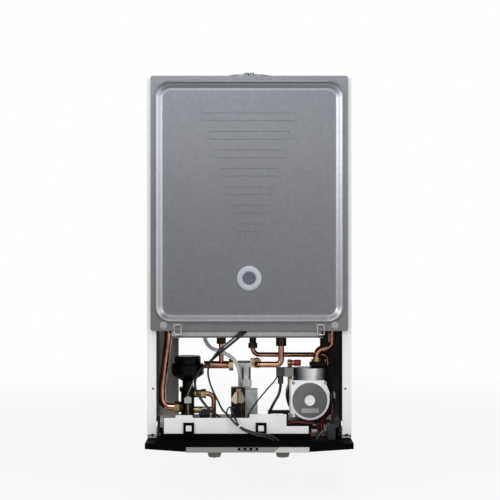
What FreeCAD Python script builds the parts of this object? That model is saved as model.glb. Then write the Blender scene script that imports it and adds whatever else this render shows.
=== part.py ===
"""Wall-hung gas boiler, outer casing off, control panel lowered for service.

Millimetres. +Z is up and the wall is the plane y = 0, with the boiler in front of it towards -y.
The origin lies midway between the two hanging holes of the rear frame.
"""
import FreeCAD
import Part
import math
import operator
import os

import Sketcher
from FreeCAD import Placement, Rotation, Vector

SIZES = {
    # case: side panels and rear frame
    "case_width": 400,
    "case_depth": 300,
    "case_top": 27,
    "chamber_drop": 467,
    "compartment": 211,
    "case_drop": "=chamber_drop + compartment",
    "panel_sheet": 1.2,
    "flange_width": 18,
    "corner_cut": 8,
    "tongue_set": 8,
    "tongue_height": 14,
    "tongue_gap": 0.2,
    "trim_hole": 2.2,
    "hole_inset": 12,
    "hole_low": 4.5,
    "hole_high": 97.2,
    "rear_sheet": 1.5,
    "rail_width": 43,
    "rail_step": 12,
    "rail_drop": "=case_drop + rail_step",
    "rail_lip": 14,
    "hang_spacing": "=case_width * 300 / 400",
    "hang_radius": 5,
    # sealed chamber
    "chamber_gap": 14,
    "chamber_width": "=case_width - 2 * chamber_gap",
    "chamber_sheet": 1,
    "frame_width": 34,
    "pan_left": "=chamber_width * 153 / 372",
    "pan_right": "=chamber_width * 142 / 372",
    "pan_depth": 15.2,
    "pan_front": "=case_depth * 286 / 300",
    "pan_back": "=case_depth * 110 / 300",
    "strike_width": 9,
    "strike_rise": 1.7,
    "strike_sheet": 1.6,
    # chamber cover
    "cover_lap": 6.5,
    "cover_width": "=chamber_width + 2 * cover_lap",
    "cover_top": 30,
    "cover_height": "=cover_top + chamber_drop",
    "cover_sheet": 1.2,
    "cover_rim": 10,
    "cover_corner": 5,
    "ridge_side": 8.9,
    "ridge_top": 9.6,
    "ridge_bottom": 16.5,
    "ridge_corner": 31,
    "ridge_rise": 0.8,
    "ridge_run": 1.6,
    "ridge_crest": 1,
    "recess_depth": 5,
    "recess_run": 11.2,
    "swage_count": 7,
    "swage_pitch": "=chamber_drop * 36 / 467",
    "swage_long": "=cover_width * 190 / 385",
    "swage_step": "=cover_width * 22 / 385",
    "swage_high": 18,
    "swage_width": 3,
    "swage_rise": 1.4,
    "swage_level": "=chamber_drop * 48 / 467",
    "seal_inset": 21,
    "seal_width": 11,
    "sight_level": "=chamber_drop * 364.7 / 467",
    "sight_radius": 24.3,
    "sight_lens": 12.8,
    "sight_rise": 5,
    "sight_hole": 16,
    "screw_offset": "=cover_width * 166.5 / 385",
    "screw_rise": 11.2,
    "screw_level": "=chamber_drop - screw_rise",
    "screw_head": 4.6,
    "screw_shank": 2.4,
    "screw_hole": 3,
    "washer_radius": 7,
    "washer_sheet": 1.2,
    "latch_offset": "=cover_width * 139 / 385",
    "latch_rise": 11,
    "latch_level": "=chamber_drop - latch_rise",
    "latch_width": 23,
    "latch_height": 15,
    "latch_sheet": 1.5,
    "eye_width": 8.5,
    "eye_radius": 3,
    "bail_wire": 1.25,
    "bail_width": 13,
    "bail_length": 18.5,
    "pivot_fit": 0.1,
    # flue outlet
    "flue_depth": "=case_depth * 190 / 300",
    "flue_radius": 30,
    "flue_wall": 1.5,
    "spigot_radius": 50,
    "flue_flange": 66,
    "flange_sheet": 3,
    "spigot_height": 14,
    "test_offset": 5.2,
    "test_depth": "=case_depth * 249 / 300",
    "test_radius": 4.4,
    "test_height": 14.5,
    "flue_screw_circle": 59,
    "flue_screw": 3.5,
    # chamber contents
    "vessel_radius": "=case_width * 160 / 400",
    "vessel_depth": 84.5,
    "vessel_level": "=chamber_drop * 220 / 467",
    "vessel_rim": 4,
    "box_half": "=chamber_width * 120 / 372",
    "box_front": "=case_depth * 262 / 300",
    "box_bottom": "=chamber_drop * 335 / 467",
    "box_top": "=chamber_drop * 185 / 467",
    "box_sheet": 1.2,
    "board_thick": 12,
    "fin_count": 24,
    "fin_pitch": "=(box_half - board_thick) * 2 / fin_count",
    "fin_sheet": 1.2,
    "fin_height": "=chamber_drop * 62 / 467",
    "fin_depth": "=case_depth * 140 / 300",
    "core_radius": 9,
    "core_count": 5,
    "header_drop": "=chamber_drop * 40 / 467",
    "header_run": "=chamber_drop * 110 / 467",
    "crossing_rise": "=chamber_drop * 67 / 467",
    "burner_count": 11,
    "burner_room": 15.5,
    "burner_pitch": "=(box_half - burner_room) * 2 / burner_count",
    "burner_width": 13,
    "burner_height": 30,
    "burner_length": "=fin_depth * 130 / 140",
    "manifold_radius": 9,
    "hood_height": "=chamber_drop * 45 / 467",
    "hood_mouth": 40,
    "fan_radius": 43,
    "fan_width": 48,
    "fan_wall": 1.5,
    "wheel_radius": 34,
    "wheel_width": 28,
    "blade_count": 20,
    "blade_sheet": 1.5,
    "blade_depth": 9,
    "fan_shaft": 4,
    "fan_outlet": 27,
    "outlet_gap": 1.5,
    "motor_radius": 27,
    "motor_length": 40,
    "switch_radius": 31,
    "switch_width": 30,
    "switch_level": 75,
    "electrode_radius": 1.5,
    "ceramic_radius": 4,
    # water and gas
    "plane_depth": "=case_depth * 170 / 300",
    "rail_sheet": 2,
    "rail_front": "=plane_depth * 214 / 170",
    "rail_rear_lip": 18,
    "tail_large": 13.2,
    "tail_small": 10.5,
    "tail_wall": 3,
    "tail_length": 32,
    "tail_drop": "=rail_drop + tail_length",
    "tail_collar": 5,
    "tail_fit": 0.3,
    "thick_pipe": 7.75,
    "mid_pipe": 6,
    "thin_pipe": 5,
    "pipe_wall": 1,
    "bend_large": 26,
    "bend_small": 14,
    "bend_tight": 10,
    "flow_top_x": "=chamber_width * 167.2 / 372",
    "flow_low_x": "=case_width * 180.5 / 400",
    "flow_socket": 17,
    "flow_rise": 40,
    "flow_level": "=chamber_drop + compartment * 166.5 / 211",
    "return_x": "=chamber_width * 172 / 372",
    "riser_x": "=case_width * 58 / 400",
    "cold_tail_x": "=case_width * 62.7 / 400",
    "cold_x": "=case_width * 7.3 / 400",
    "cold_depth": "=plane_depth * 148 / 170",
    "cold_level": "=chamber_drop + compartment * 60.5 / 211",
    "gas_x": "=case_width * 64.4 / 400",
    "gas_depth": "=plane_depth * 222 / 170",
    "gas_level": "=chamber_drop + compartment * 74 / 211",
    "grommet_width": 6,
    "grommet_rise": 3,
    "nut_height": 18,
    "nut_spare": 4.5,
    "low_nut": 10.5,
    "sleeve_height": 18,
    "sleeve_wall": 2.2,
    "hose_radius": 3.75,
    "hose_bore": 2.2,
    "hose_x": "=case_width * 92 / 400",
    "hose_depth": "=plane_depth * 225 / 170",
    # diverter valve and flow group
    "diverter_x": "=case_width * 127.3 / 400",
    "cap_top": "=chamber_drop + compartment * 61.2 / 211",
    "cap_radius": 27,
    "cap_height": 15.5,
    "drum_radius": 33.5,
    "drum_height": 25.2,
    "cone_height": 11,
    "neck_radius": 11,
    "neck_bottom": "=chamber_drop + compartment * 125 / 211",
    "column_radius": 14,
    "collector_level": "=chamber_drop + compartment * 79.4 / 211",
    "collector_end": "=case_width * 42 / 400",
    "branch_level": "=chamber_drop + compartment * 139 / 211",
    "hot_x": "=case_width * 73.4 / 400",
    "tap_level": "=chamber_drop + compartment * 172.5 / 211",
    "tap_x": "=case_width * 90 / 400",
    "tap_radius": 12,
    "tap_width": 15,
    "tap_front": "=plane_depth * 240 / 170",
    "tap_spindle": 4,
    "tap_rib": 1.2,
    # gas valve
    "gas_inlet_x": "=case_width * 8 / 400",
    "outlet_radius": 9.5,
    "valve_left": "=case_width * 23 / 400",
    "valve_right": "=case_width * 3 / 400",
    "valve_top": "=chamber_drop + compartment * 73 / 211",
    "valve_bottom": "=chamber_drop + compartment * 185 / 211",
    "valve_front": "=plane_depth * 198 / 170",
    "valve_back": "=plane_depth * 148 / 170",
    "block_right": "=case_width * 17 / 400",
    "block_top": "=chamber_drop + compartment * 126 / 211",
    "block_front": "=plane_depth * 211 / 170",
    "coil_left": "=case_width * 37 / 400",
    "coil_right": "=case_width * 8.5 / 400",
    "coil_top": "=chamber_drop + compartment * 121 / 211",
    "coil_front": "=plane_depth * 222 / 170",
    "plug_height": 24,
    "plug_thick": 13,
    # pump
    "pump_x": "=case_width * 122.2 / 400",
    "pump_level": "=chamber_drop + compartment * 146.1 / 211",
    "pump_reach": 55,
    "pump_front": "=plane_depth + pump_reach",
    "motor_square": 80,
    "corner_left": 6,
    "corner_across": 10,
    "corner_down": 24,
    "foot_width": 10,
    "foot_drop": 34,
    "motor_deep": 62,
    "ring_radius": 40,
    "label_radius": 35.5,
    "ring_rise": 2.5,
    "vent_radius": 10.5,
    "vent_rise": 4,
    "vent_shank": 5,
    "volute_radius": 46,
    "volute_deep": 52,
    "rotor_radius": 26,
    "impeller_radius": 32,
    "shaft_radius": 5,
    "rotor_fit": 0.4,
    "shaft_fit": 0.05,
    "terminal_width": 65,
    "terminal_height": 28,
    "terminal_round": 24,
    "group_left": "=case_width * 46 / 400",
    "group_right": "=case_width * 172 / 400",
    "group_top": "=chamber_drop + compartment * 193 / 211",
    "inlet_x": "=case_width * 140.5 / 400",
    "inlet_top": "=chamber_drop + compartment * 74 / 211",
    "inlet_width": 32,
    "inlet_sheet": 7,
    "sensor_left": "=case_width * 153 / 400",
    "sensor_top": "=chamber_drop + compartment * 83 / 211",
    "relief_x": "=case_width * 93 / 400",
    "relief_level": "=chamber_drop + compartment * 74 / 211",
    "relief_front": 15,
    "relief_radius": 6,
    "relief_body": 4.5,
    "relief_length": 15,
    # control panel
    "panel_near": "=case_depth * 350 / 300",
    "panel_rear": "=case_depth * 260 / 300",
    "panel_gap": 1.5,
    "pivot_inset": 12,
    "bezel_end": 11,
    "bezel_thick": 16.5,
    "lip_rise": 4.5,
    "lip_thick": 4,
    "board_left": "=case_width * 165 / 400",
    "board_right": "=case_width * 115 / 400",
    "step_x": "=case_width * 72 / 400",
    "raise_x": 1,
    "board_front": "=case_depth * 325 / 300",
    "board_back": "=case_depth * 266 / 300",
    "board_height": 45.2,
    "board_fall": 10,
    "raise_height": 7.1,
    "bump_drop": 2.6,
    "step_drop": 16,
    "board_wall": 2,
    "rim_height": 15,
    "rim_thick": 3,
    "rim_fit": 0.3,
    "component_pitch": "=case_width * 44 / 400",
    "bump_left": "=case_width * 143 / 400",
    "bump_right": "=case_width * 110 / 400",
    "clip_left": "=case_width * 117 / 400",
    "clip_right": "=case_width * 22.8 / 400",
    "clip_width": 21,
    "clip_height": 21,
    "stud": 11,
    "insert_left": "=case_width * 121 / 400",
    "insert_right": "=case_width * 115 / 400",
    "insert_back": "=case_depth * 277 / 300",
    "insert_thick": 9.3,
    "insert_proud": 1,
    "insert_wall": 3,
    "window_left": 22,
    "window_right": 17,
    "window_height": 6,
    "button_depth": 9,
    "button_width": 7,
    "button_height": 4,
    "button_pitch": 11.5,
    "button_travel": 1.5,
    "button_fit": 0.25,
    "knob_left": "=case_width * 67.6 / 400",
    "knob_right": "=case_width * 65.2 / 400",
    "knob_depth": "=case_depth * 310 / 300",
    "knob_radius": 13,
    "knob_height": 14,
    "knob_shaft": 3,
    "knob_rib": 1,
    "lug_inset": 30,
    "lug_inner": "=case_width / 2 - lug_inset",
    "lug_thick": 5,
    "lug_radius": 8,
    "pin_radius": 3,
    "hinge_inset": 23,
    "hinge_inner": "=case_width / 2 - hinge_inset",
    "hinge_sheet": 3,
    "hinge_radius": 11,
    "hinge_front": 9,
    "hinge_rise": 26,
    "hinge_back": 26,
    "wiring_inset": 32,
    "wiring_width": 15,
    "wiring_height": 30,
    # wiring, whose routes are drawn for one case and follow its sizes
    "spread": "=case_width / 400",
    "deepen": "=plane_depth / 170",
    "stretch": "=compartment / 211",
    "exit_gap": 6.5,
    "lead_thick": 2.6,
    "lead_mid": 2.9,
    "lead_thin": 1.9,
}

doc = FreeCAD.newDocument("wall_boiler")
sheet = doc.addObject("Spreadsheet::Sheet", "sizes")
for row, alias in enumerate(SIZES, 1):
    sheet.set(f"A{row}", alias)
    sheet.setAlias(f"B{row}", alias)
for row, value in enumerate(SIZES.values(), 1):
    sheet.set(f"B{row}", str(value))
doc.recompute()

OPERATIONS = {"+": operator.add, "-": operator.sub, "*": operator.mul, "/": operator.truediv}
NODES = []


def formula_of(value):
    """The text that a document expression uses for a number or a size."""
    return value.formula if isinstance(value, Size) else repr(float(value))


class Size(float):
    """A length from the sheet: its number now, and the formula that works it out."""

    def __new__(cls, value, formula):
        size = super().__new__(cls, value)
        size.formula = formula
        return size

    def joined(self, sign, other, flipped=False):
        left, right = (other, self) if flipped else (self, other)
        number = OPERATIONS[sign](float(left), float(right))
        return Size(number, f"({formula_of(left)} {sign} {formula_of(right)})")

    def __add__(self, other):
        return self.joined("+", other)

    def __radd__(self, other):
        return self.joined("+", other, True)

    def __sub__(self, other):
        return self.joined("-", other)

    def __rsub__(self, other):
        return self.joined("-", other, True)

    def __mul__(self, other):
        return self.joined("*", other)

    def __rmul__(self, other):
        return self.joined("*", other, True)

    def __truediv__(self, other):
        return self.joined("/", other)

    def __neg__(self):
        return self.joined("-", 0, True)


class Sizes:
    """Every size of the sheet by its alias."""

    def __getattr__(self, alias):
        return Size(sheet.get(alias), f"sizes.{alias}")


s = Sizes()


# Helpers: solids whose sizes follow the sheet

TURNS = {
    "x": (Vector(0, 1, 0), 90),
    "y": (Vector(1, 0, 0), -90),
    "-y": (Vector(1, 0, 0), 90),
    "z": (Vector(0, 0, 1), 0),
}


def bind(item, **values):
    """Drives properties of an object by formulas."""
    for name, value in values.items():
        item.setExpression(name.replace("__", "."), formula_of(value))
    return item


def put(item, x, y, z, along="z"):
    """Places an object, with its own z axis laid along x, y, -y or z."""
    item.Placement = Placement(Vector(), Rotation(*TURNS[along]))
    return bind(item, Placement__Base__x=x, Placement__Base__y=y, Placement__Base__z=z)


def block(x, y, z):
    """A box between a low and a high limit along each axis."""
    item = doc.addObject("Part::Box", "block")
    bind(item, Length=x[1] - x[0], Width=y[1] - y[0], Height=z[1] - z[0])
    return put(item, x[0], y[0], z[0])


def start_of(along, centre, span):
    """The point where a piece along an axis starts; centre holds the other two coordinates."""
    place = list(centre)
    place.insert("xyz".index(along), span[0])
    return place


def rod(along, centre, span, radius, far_radius=None):
    """A round bar along an axis, or a cone if it ends on another radius."""
    if far_radius is None:
        item = bind(doc.addObject("Part::Cylinder", "rod"), Radius=radius)
    else:
        item = bind(doc.addObject("Part::Cone", "cone"), Radius1=radius, Radius2=far_radius)
    bind(item, Height=span[1] - span[0])
    return put(item, *start_of(along, centre, span), along)


def hexagon(along, centre, span, radius):
    """A hexagonal bar along an axis, by the radius of its corners."""
    item = doc.addObject("Part::Prism", "hexagon")
    item.Polygon = 6
    bind(item, Circumradius=radius, Height=span[1] - span[0])
    return put(item, *start_of(along, centre, span), along)


def cut(base, *tools):
    """What is left of a solid when the tools are taken away."""
    for tool in tools:
        item = doc.addObject("Part::Cut", "cut")
        item.Base = base
        item.Tool = tool
        base = item
    return base


def fuse(*items):
    """One solid from several that touch."""
    item = doc.addObject("Part::MultiFuse", "fuse")
    item.Shapes = list(items)
    item.Refine = True
    return item


def group(*items):
    """Separate solids that share one node."""
    item = doc.addObject("Part::Compound", "group")
    item.Links = list(items)
    return item


def node(label, item):
    """Names a finished sub-part and keeps it for export."""
    item.Label = label
    NODES.append(item)
    return item


def shaped(label, shape):
    """A sub-part whose shape is worked out in code from the sheet."""
    item = doc.addObject("Part::Feature", label)
    item.Shape = shape
    return node(label, item)


def mirrored(value, side):
    """A coordinate on the left (-1) or right (+1) half."""
    return value if side > 0 else -value


def sided(side, low, high):
    """Limits across the left (-1) or right (+1) half, from distances off the middle."""
    return (low, high) if side > 0 else (-high, -low)


# Helpers: bodies drawn from sketches


def draw(sketch, points):
    """Draws a closed outline whose corners are all driven by formulas."""
    corners = [Vector(float(a), float(b), 0) for a, b in points]
    count = len(points)
    for i in range(count):
        sketch.addGeometry(Part.LineSegment(corners[i], corners[(i + 1) % count]), False)
    for i in range(count):
        sketch.addConstraint(Sketcher.Constraint("Coincident", i, 2, (i + 1) % count, 1))
    for i, point in enumerate(points):
        for kind, axis, value in (("DistanceX", -2, point[0]), ("DistanceY", -1, point[1])):
            if value == 0:
                sketch.addConstraint(Sketcher.Constraint("PointOnObject", i, 1, axis))
            else:
                rule = Sketcher.Constraint(kind, -1, 1, i, 1, float(value))
                index = sketch.addConstraint(rule)
                sketch.setExpression(f"Constraints[{index}]", formula_of(value))


def sketched(label, plane, points):
    """A body with an outline on one of its own planes."""
    body = doc.addObject("PartDesign::Body", label)
    sketch = body.newObject("Sketcher::SketchObject", f"{label}_outline")
    support = next(f for f in body.Origin.OriginFeatures if f.Role == plane)
    sketch.AttachmentSupport = (support, [""])
    sketch.MapMode = "FlatFace"
    draw(sketch, points)
    return body, sketch


def turned(label, points):
    """A body turned about its own z axis from (radius, height) corners."""
    body, sketch = sketched(label, "XZ_Plane", points)
    turn = body.newObject("PartDesign::Revolution", f"{label}_turn")
    turn.Profile = sketch
    turn.ReferenceAxis = (sketch, ["V_Axis"])
    turn.Angle = 360
    return body


def padded(label, plane, points, length):
    """A body raised from an outline on one of its own planes."""
    body, sketch = sketched(label, plane, points)
    pad = body.newObject("PartDesign::Pad", f"{label}_pad")
    pad.Profile = sketch
    bind(pad, Length=length)
    return body


# Helpers: tubes along routes


def route(points, bend):
    """A path of straight runs joined by tangent arcs, each of the given radius or what its runs allow."""
    path = [Vector(*(float(c) for c in p)) for p in points]
    edges, radii, last = [], [], path[0]
    for before, corner, after in zip(path, path[1:], path[2:]):
        into, out = (corner - before).normalize(), (after - corner).normalize()
        half = math.tan(into.getAngle(out) / 2)
        room = 0.45 * min((corner - before).Length, (after - corner).Length)
        radius = room / half if bend is None else min(float(bend), room / half)
        start, end = corner - into * (radius * half), corner + out * (radius * half)
        inward = (out - into).normalize()
        middle = corner + inward * (radius * (math.hypot(1, half) - 1))
        edges.append(Part.LineSegment(last, start).toShape())
        edges.append(Part.Arc(start, middle, end).toShape())
        radii.append(round(radius, 1))
        last = end
    edges.append(Part.LineSegment(last, path[-1]).toShape())
    return Part.Wire(edges), radii


def tube_shape(points, radius, bore=0, bend=None):
    """A tube, or a solid cord with no bore, along a route."""
    path, radii = route(points, bend)
    start, second = (Vector(*(float(c) for c in p)) for p in points[:2])
    ring = Part.Face(Part.Wire(Part.Circle(start, second - start, float(radius)).toShape()))
    if bore:
        hole = Part.Wire(Part.Circle(start, second - start, float(bore)).toShape())
        ring = ring.cut(Part.Face(hole)).Faces[0]
    shape = path.makePipe(ring)
    if shape.ShapeType != "Solid":
        shape = shape.Solids[0]
    expected = math.pi * (float(radius) ** 2 - float(bore) ** 2) * path.Length
    print(f"tube: length {path.Length:.1f}, radii {radii}, volume ratio {shape.Volume / expected:.4f}")
    return shape


def pipe(label, points, radius, bend):
    """A copper pipe with its bore."""
    return shaped(label, tube_shape(points, radius, radius - s.pipe_wall, bend))


# Levels and planes shared by several pieces

half_case = s.case_width / 2
inner_wall = half_case - s.panel_sheet
flange_plane = -(s.case_depth - s.panel_sheet)
chamber_half = s.chamber_width / 2
chamber_floor = -s.chamber_drop
chamber_top = s.case_top
vessel_front = -(s.rear_sheet + s.vessel_depth)
pan_bottom = -(s.chamber_drop + s.pan_depth)
cover_low = s.cover_top - s.cover_height
cover_half = s.cover_width / 2
cover_back = -(s.case_depth + 0.5)
cover_face = cover_back - s.cover_rim
bail_axis_y = cover_face - s.latch_sheet - s.eye_radius + 0.4
rail_top = s.rail_sheet - s.rail_drop
tail_top = rail_top + s.tail_collar
plane = -s.plane_depth
inner_level = chamber_floor + s.crossing_rise
pivot_y = -(s.case_depth - s.pivot_inset)
pivot_z = -(s.case_drop - s.pivot_inset)
bezel_back = pivot_z - s.pivot_inset - s.panel_gap
bezel_face = bezel_back - s.bezel_thick
box_back = vessel_front - s.chamber_sheet
exchanger_low = -s.box_top
exchanger_y = (box_back - s.fin_depth - 18, box_back - 18)
burner_y = (exchanger_y[0] + 5, exchanger_y[0] + 5 + s.burner_length)
manifold_y = burner_y[0] - s.manifold_radius - 6
manifold_z = -(s.box_bottom + s.burner_height * 0.6)
hood_low = exchanger_low + s.fin_height
hood_top = hood_low + s.hood_height
fan_z = hood_top + s.fan_radius
fan_y = (-s.flue_depth - s.fan_width / 2, -s.flue_depth + s.fan_width / 2)
outlet_x = s.valve_right + 12
insert_low = bezel_face - s.insert_proud
strip_back = s.insert_wall - s.insert_proud - s.panel_near
board_top = bezel_back + s.board_height
wiring_x = (half_case - s.wiring_inset - s.wiring_width, half_case - s.wiring_inset)


# Case


def side_panel(side, label):
    """A folded side sheet: front flange with its lower corner cut, a set-back tongue there, trim holes."""
    low, high = -s.case_drop, s.case_top
    wall = block(sided(side, inner_wall, half_case), (-s.case_depth, 0), (low, high))
    lip_x = sided(side, half_case - s.flange_width, half_case)
    lip = block(lip_x, (-s.case_depth, flange_plane), (low, high))
    reach = s.corner_cut * math.sqrt(2)
    corner = doc.addObject("Part::Box", "corner")
    bind(corner, Length=s.case_width, Width=reach, Height=reach)
    corner.Placement = Placement(Vector(), Rotation(Vector(1, 0, 0), 45))
    bind(corner, Placement__Base__x=-half_case, Placement__Base__y=-s.case_depth)
    bind(corner, Placement__Base__z=low - s.corner_cut)
    tongue_y = (s.tongue_set - s.case_depth, s.tongue_set - s.case_depth + s.panel_sheet)
    tongue = block(lip_x, tongue_y, (low + s.tongue_gap, low + s.tongue_height))
    panel = fuse(cut(fuse(wall, lip), corner), tongue)
    for rise in (s.hole_low, s.hole_high):
        centre = (mirrored(half_case - s.hole_inset, side), low + rise)
        panel = cut(panel, rod("y", centre, (-s.case_depth - 1, tongue_y[1] + 1), s.trim_hole))
    return node(label, panel)


def rear_frame():
    """The galvanised back: an upper sheet with hanging holes and two rails with folded lips."""
    sheet_y = (-s.rear_sheet, 0)
    upper = block((-inner_wall, inner_wall), sheet_y, (chamber_floor - 30, s.case_top))
    parts = [upper]
    for side in (-1, 1):
        across = sided(side, inner_wall - s.rail_width, inner_wall)
        parts.append(block(across, sheet_y, (-s.rail_drop, chamber_floor)))
        edge = sided(side, inner_wall - s.rail_width, inner_wall - s.rail_width + s.rear_sheet)
        parts.append(block(edge, (-s.rail_lip, 0), (-s.rail_drop + s.rail_rear_lip, pan_bottom - 12)))
    frame = fuse(*parts)
    for side in (-1, 1):
        centre = (mirrored(s.hang_spacing / 2, side), 0)
        frame = cut(frame, rod("y", centre, (-s.rear_sheet - 1, 1), s.hang_radius))
    return node("rear_frame", fuse(frame, connection_rail()))


def chamber_shell():
    """The sealed chamber: back, sides, top and the front frame that the cover seals on."""
    wall = s.chamber_sheet
    across, deep = (-chamber_half, chamber_half), (flange_plane, vessel_front)
    outer = block(across, deep, (chamber_floor + wall, chamber_top))
    hollow_y = (flange_plane + wall, vessel_front - wall)
    hollow = block((wall - chamber_half, chamber_half - wall), hollow_y, (chamber_floor, chamber_top - wall))
    opening_x = (s.frame_width - chamber_half, chamber_half - s.frame_width)
    opening_z = (cover_low + s.frame_width + s.ridge_bottom, chamber_top - s.frame_width)
    opening = block(opening_x, (flange_plane - 1, flange_plane + wall + 1), opening_z)
    flue = rod("z", (0, -s.flue_depth), (chamber_top - wall - 1, chamber_top + 1), s.flue_radius + 4)
    shell = cut(outer, hollow, opening, flue)
    for side in (-1, 1):
        centre = (mirrored(s.screw_offset, side), -s.screw_level)
        shell = cut(shell, rod("y", centre, (flange_plane - 1, flange_plane + wall + 1), s.screw_hole))
    return node("chamber_shell", shell)


def floor_holes():
    """(x, y, radius) of each pipe that passes the chamber floor."""
    return [
        (-s.flow_top_x, plane, s.thick_pipe),
        (s.return_x, plane, s.thick_pipe),
        (-s.riser_x, plane, s.thin_pipe),
        (s.cold_x, -s.cold_depth, s.thin_pipe),
        (s.gas_x, -s.gas_depth, s.mid_pipe),
        (-s.hose_x, -s.hose_depth, s.hose_radius),
    ]


def chamber_bottom():
    """The chamber floor with its drawn pan, pipe holes and the strike tabs for the latches."""
    wall = s.chamber_sheet
    across, deep = (-chamber_half, chamber_half), (flange_plane, vessel_front)
    plate = block(across, deep, (chamber_floor, chamber_floor + wall))
    pan_x, pan_y = (-s.pan_left, s.pan_right), (-s.pan_front, -s.pan_back)
    pan = block(pan_x, pan_y, (pan_bottom, chamber_floor + wall))
    tabs = []
    for side in (-1, 1):
        middle = mirrored(s.latch_offset, side)
        tab_x = (middle - s.strike_width / 2, middle + s.strike_width / 2)
        tab_z = (pan_bottom + s.strike_rise, pan_bottom + s.strike_rise + s.strike_sheet)
        tabs.append(block(tab_x, (cover_face - 8, -s.pan_front + wall), tab_z))
    hollow_x, hollow_y = (wall - s.pan_left, s.pan_right - wall), (wall - s.pan_front, -s.pan_back - wall)
    hollow = block(hollow_x, hollow_y, (pan_bottom + wall, chamber_floor + wall + 1))
    floor = cut(fuse(plate, pan, *tabs), hollow)
    for x, y, radius in floor_holes():
        span = (pan_bottom - 1, chamber_floor + wall + 1)
        floor = cut(floor, rod("z", (x, y), span, radius + s.grommet_rise))
    return node("chamber_floor", floor)


def grommets():
    """Rubber collars round each pipe in the chamber floor."""
    rings = []
    for x, y, radius in floor_holes():
        inside = abs(float(y)) < float(s.pan_front) and -float(s.pan_left) < float(x) < float(s.pan_right)
        low = pan_bottom if inside else chamber_floor
        span = (low - s.grommet_rise, low + s.chamber_sheet)
        neck = rod("z", (x, y), span, radius + s.grommet_rise)
        brim = rod("z", (x, y), (low - s.grommet_rise, low), radius + s.grommet_width)
        rings.append(cut(fuse(neck, brim), rod("z", (x, y), (span[0] - 1, span[1] + 1), radius)))
    return node("floor_grommets", group(*rings))


# Chamber cover


def rounded(half, low, high, corner, y):
    """A rounded rectangle across the front, at a depth."""
    x, z0, z1, r = float(half), float(low), float(high), float(corner)
    k = r * (1 - math.sqrt(0.5))
    arcs = [
        ((x - r, z0), (x - k, z0 + k), (x, z0 + r)),
        ((x, z1 - r), (x - k, z1 - k), (x - r, z1)),
        ((r - x, z1), (k - x, z1 - k), (-x, z1 - r)),
        ((-x, z0 + r), (k - x, z0 + k), (r - x, z0)),
    ]
    points = [[Vector(a, float(y), b) for a, b in arc] for arc in arcs]
    edges = []
    for arc, following in zip(points, points[1:] + points[:1]):
        edges.append(Part.Arc(*arc).toShape())
        edges.append(Part.LineSegment(arc[2], following[0]).toShape())
    return Part.Wire(edges)


def sloped(inset, far_inset, y, far_y):
    """A block with sloping sides, by how far its outline lies inside the pressed ridge at each end."""
    wires = []
    for value, depth in ((inset, y), (far_inset, far_y)):
        half = cover_half - s.ridge_side - value
        low, high = cover_low + s.ridge_bottom + value, s.cover_top - s.ridge_top - value
        wires.append(rounded(half, low, high, max(s.ridge_corner - value, 2), depth))
    return Part.makeLoft(wires, True, True)


def slab(inset, front, back, corner):
    """A plain block behind the cover's outline, inset all round."""
    wire = rounded(cover_half - inset, cover_low + inset, s.cover_top - inset, corner, front)
    return Part.Face(wire).extrude(Vector(0, float(back - front), 0))


def swages(panel_face):
    """Stiffening swages pressed out of the panel: a stack of flat ovals, each shorter than the one above."""
    shapes = []
    for i in range(int(s.swage_count)):
        long = s.swage_long - s.swage_step * i
        level = -s.swage_level - s.swage_pitch * i
        rings = []
        for grow in (0, -s.swage_width):
            high = s.swage_high / 2 + grow
            wire = rounded(long / 2 + grow, level - high, level + high, high - 0.01, panel_face + 0.5)
            rings.append(Part.Face(wire))
        ring = rings[0].cut(rings[1])
        shapes.append(ring.extrude(Vector(0, -float(s.swage_rise) - 0.5, 0)))
    return shapes


def chamber_cover():
    """The pressed front cover: turned rim, raised ridge, recessed panel with swages, sight hole."""
    crest = cover_face - s.ridge_rise
    panel_face = crest + s.ridge_rise + s.recess_depth
    sheet_back = panel_face + s.cover_sheet
    body = slab(0, cover_face, cover_back, s.cover_corner)
    body = body.fuse(sloped(0, s.ridge_run, cover_face, crest))
    top_run = s.ridge_run + s.ridge_crest
    body = body.cut(sloped(top_run, top_run + s.recess_run, crest, panel_face))
    body = body.cut(slab(s.cover_sheet, sheet_back, cover_back + 1, s.cover_corner - s.cover_sheet))
    hollow = slab(s.cover_sheet, cover_face + s.cover_sheet, sheet_back, s.cover_corner - s.cover_sheet)
    inner_run = top_run + s.recess_run - s.cover_sheet
    under_ridge = sloped(s.ridge_run - s.cover_sheet, inner_run, cover_face, sheet_back)
    body = body.cut(hollow.cut(under_ridge))
    body = body.multiFuse(swages(panel_face))
    through = Vector(0, 40, 0)
    holes = [(0, -s.sight_level, s.sight_hole)]
    holes += [(x, -s.screw_level, s.screw_hole) for x in (-s.screw_offset, s.screw_offset)]
    for x, z, radius in holes:
        ring = Part.Circle(Vector(float(x), float(crest) - 5, float(z)), Vector(0, 1, 0), float(radius))
        body = body.cut(Part.Face(Part.Wire(ring.toShape())).extrude(through))
    return shaped("chamber_cover", body.removeSplitter())


def cover_seal():
    """The foam strip that seals the cover to the chamber's front frame."""
    back = flange_plane
    front = cover_face + s.recess_depth + s.cover_sheet
    shapes = [slab(s.seal_inset + grow, front, back, 8) for grow in (0, s.seal_width)]
    return shaped("cover_seal", shapes[0].cut(shapes[1]))


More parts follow.
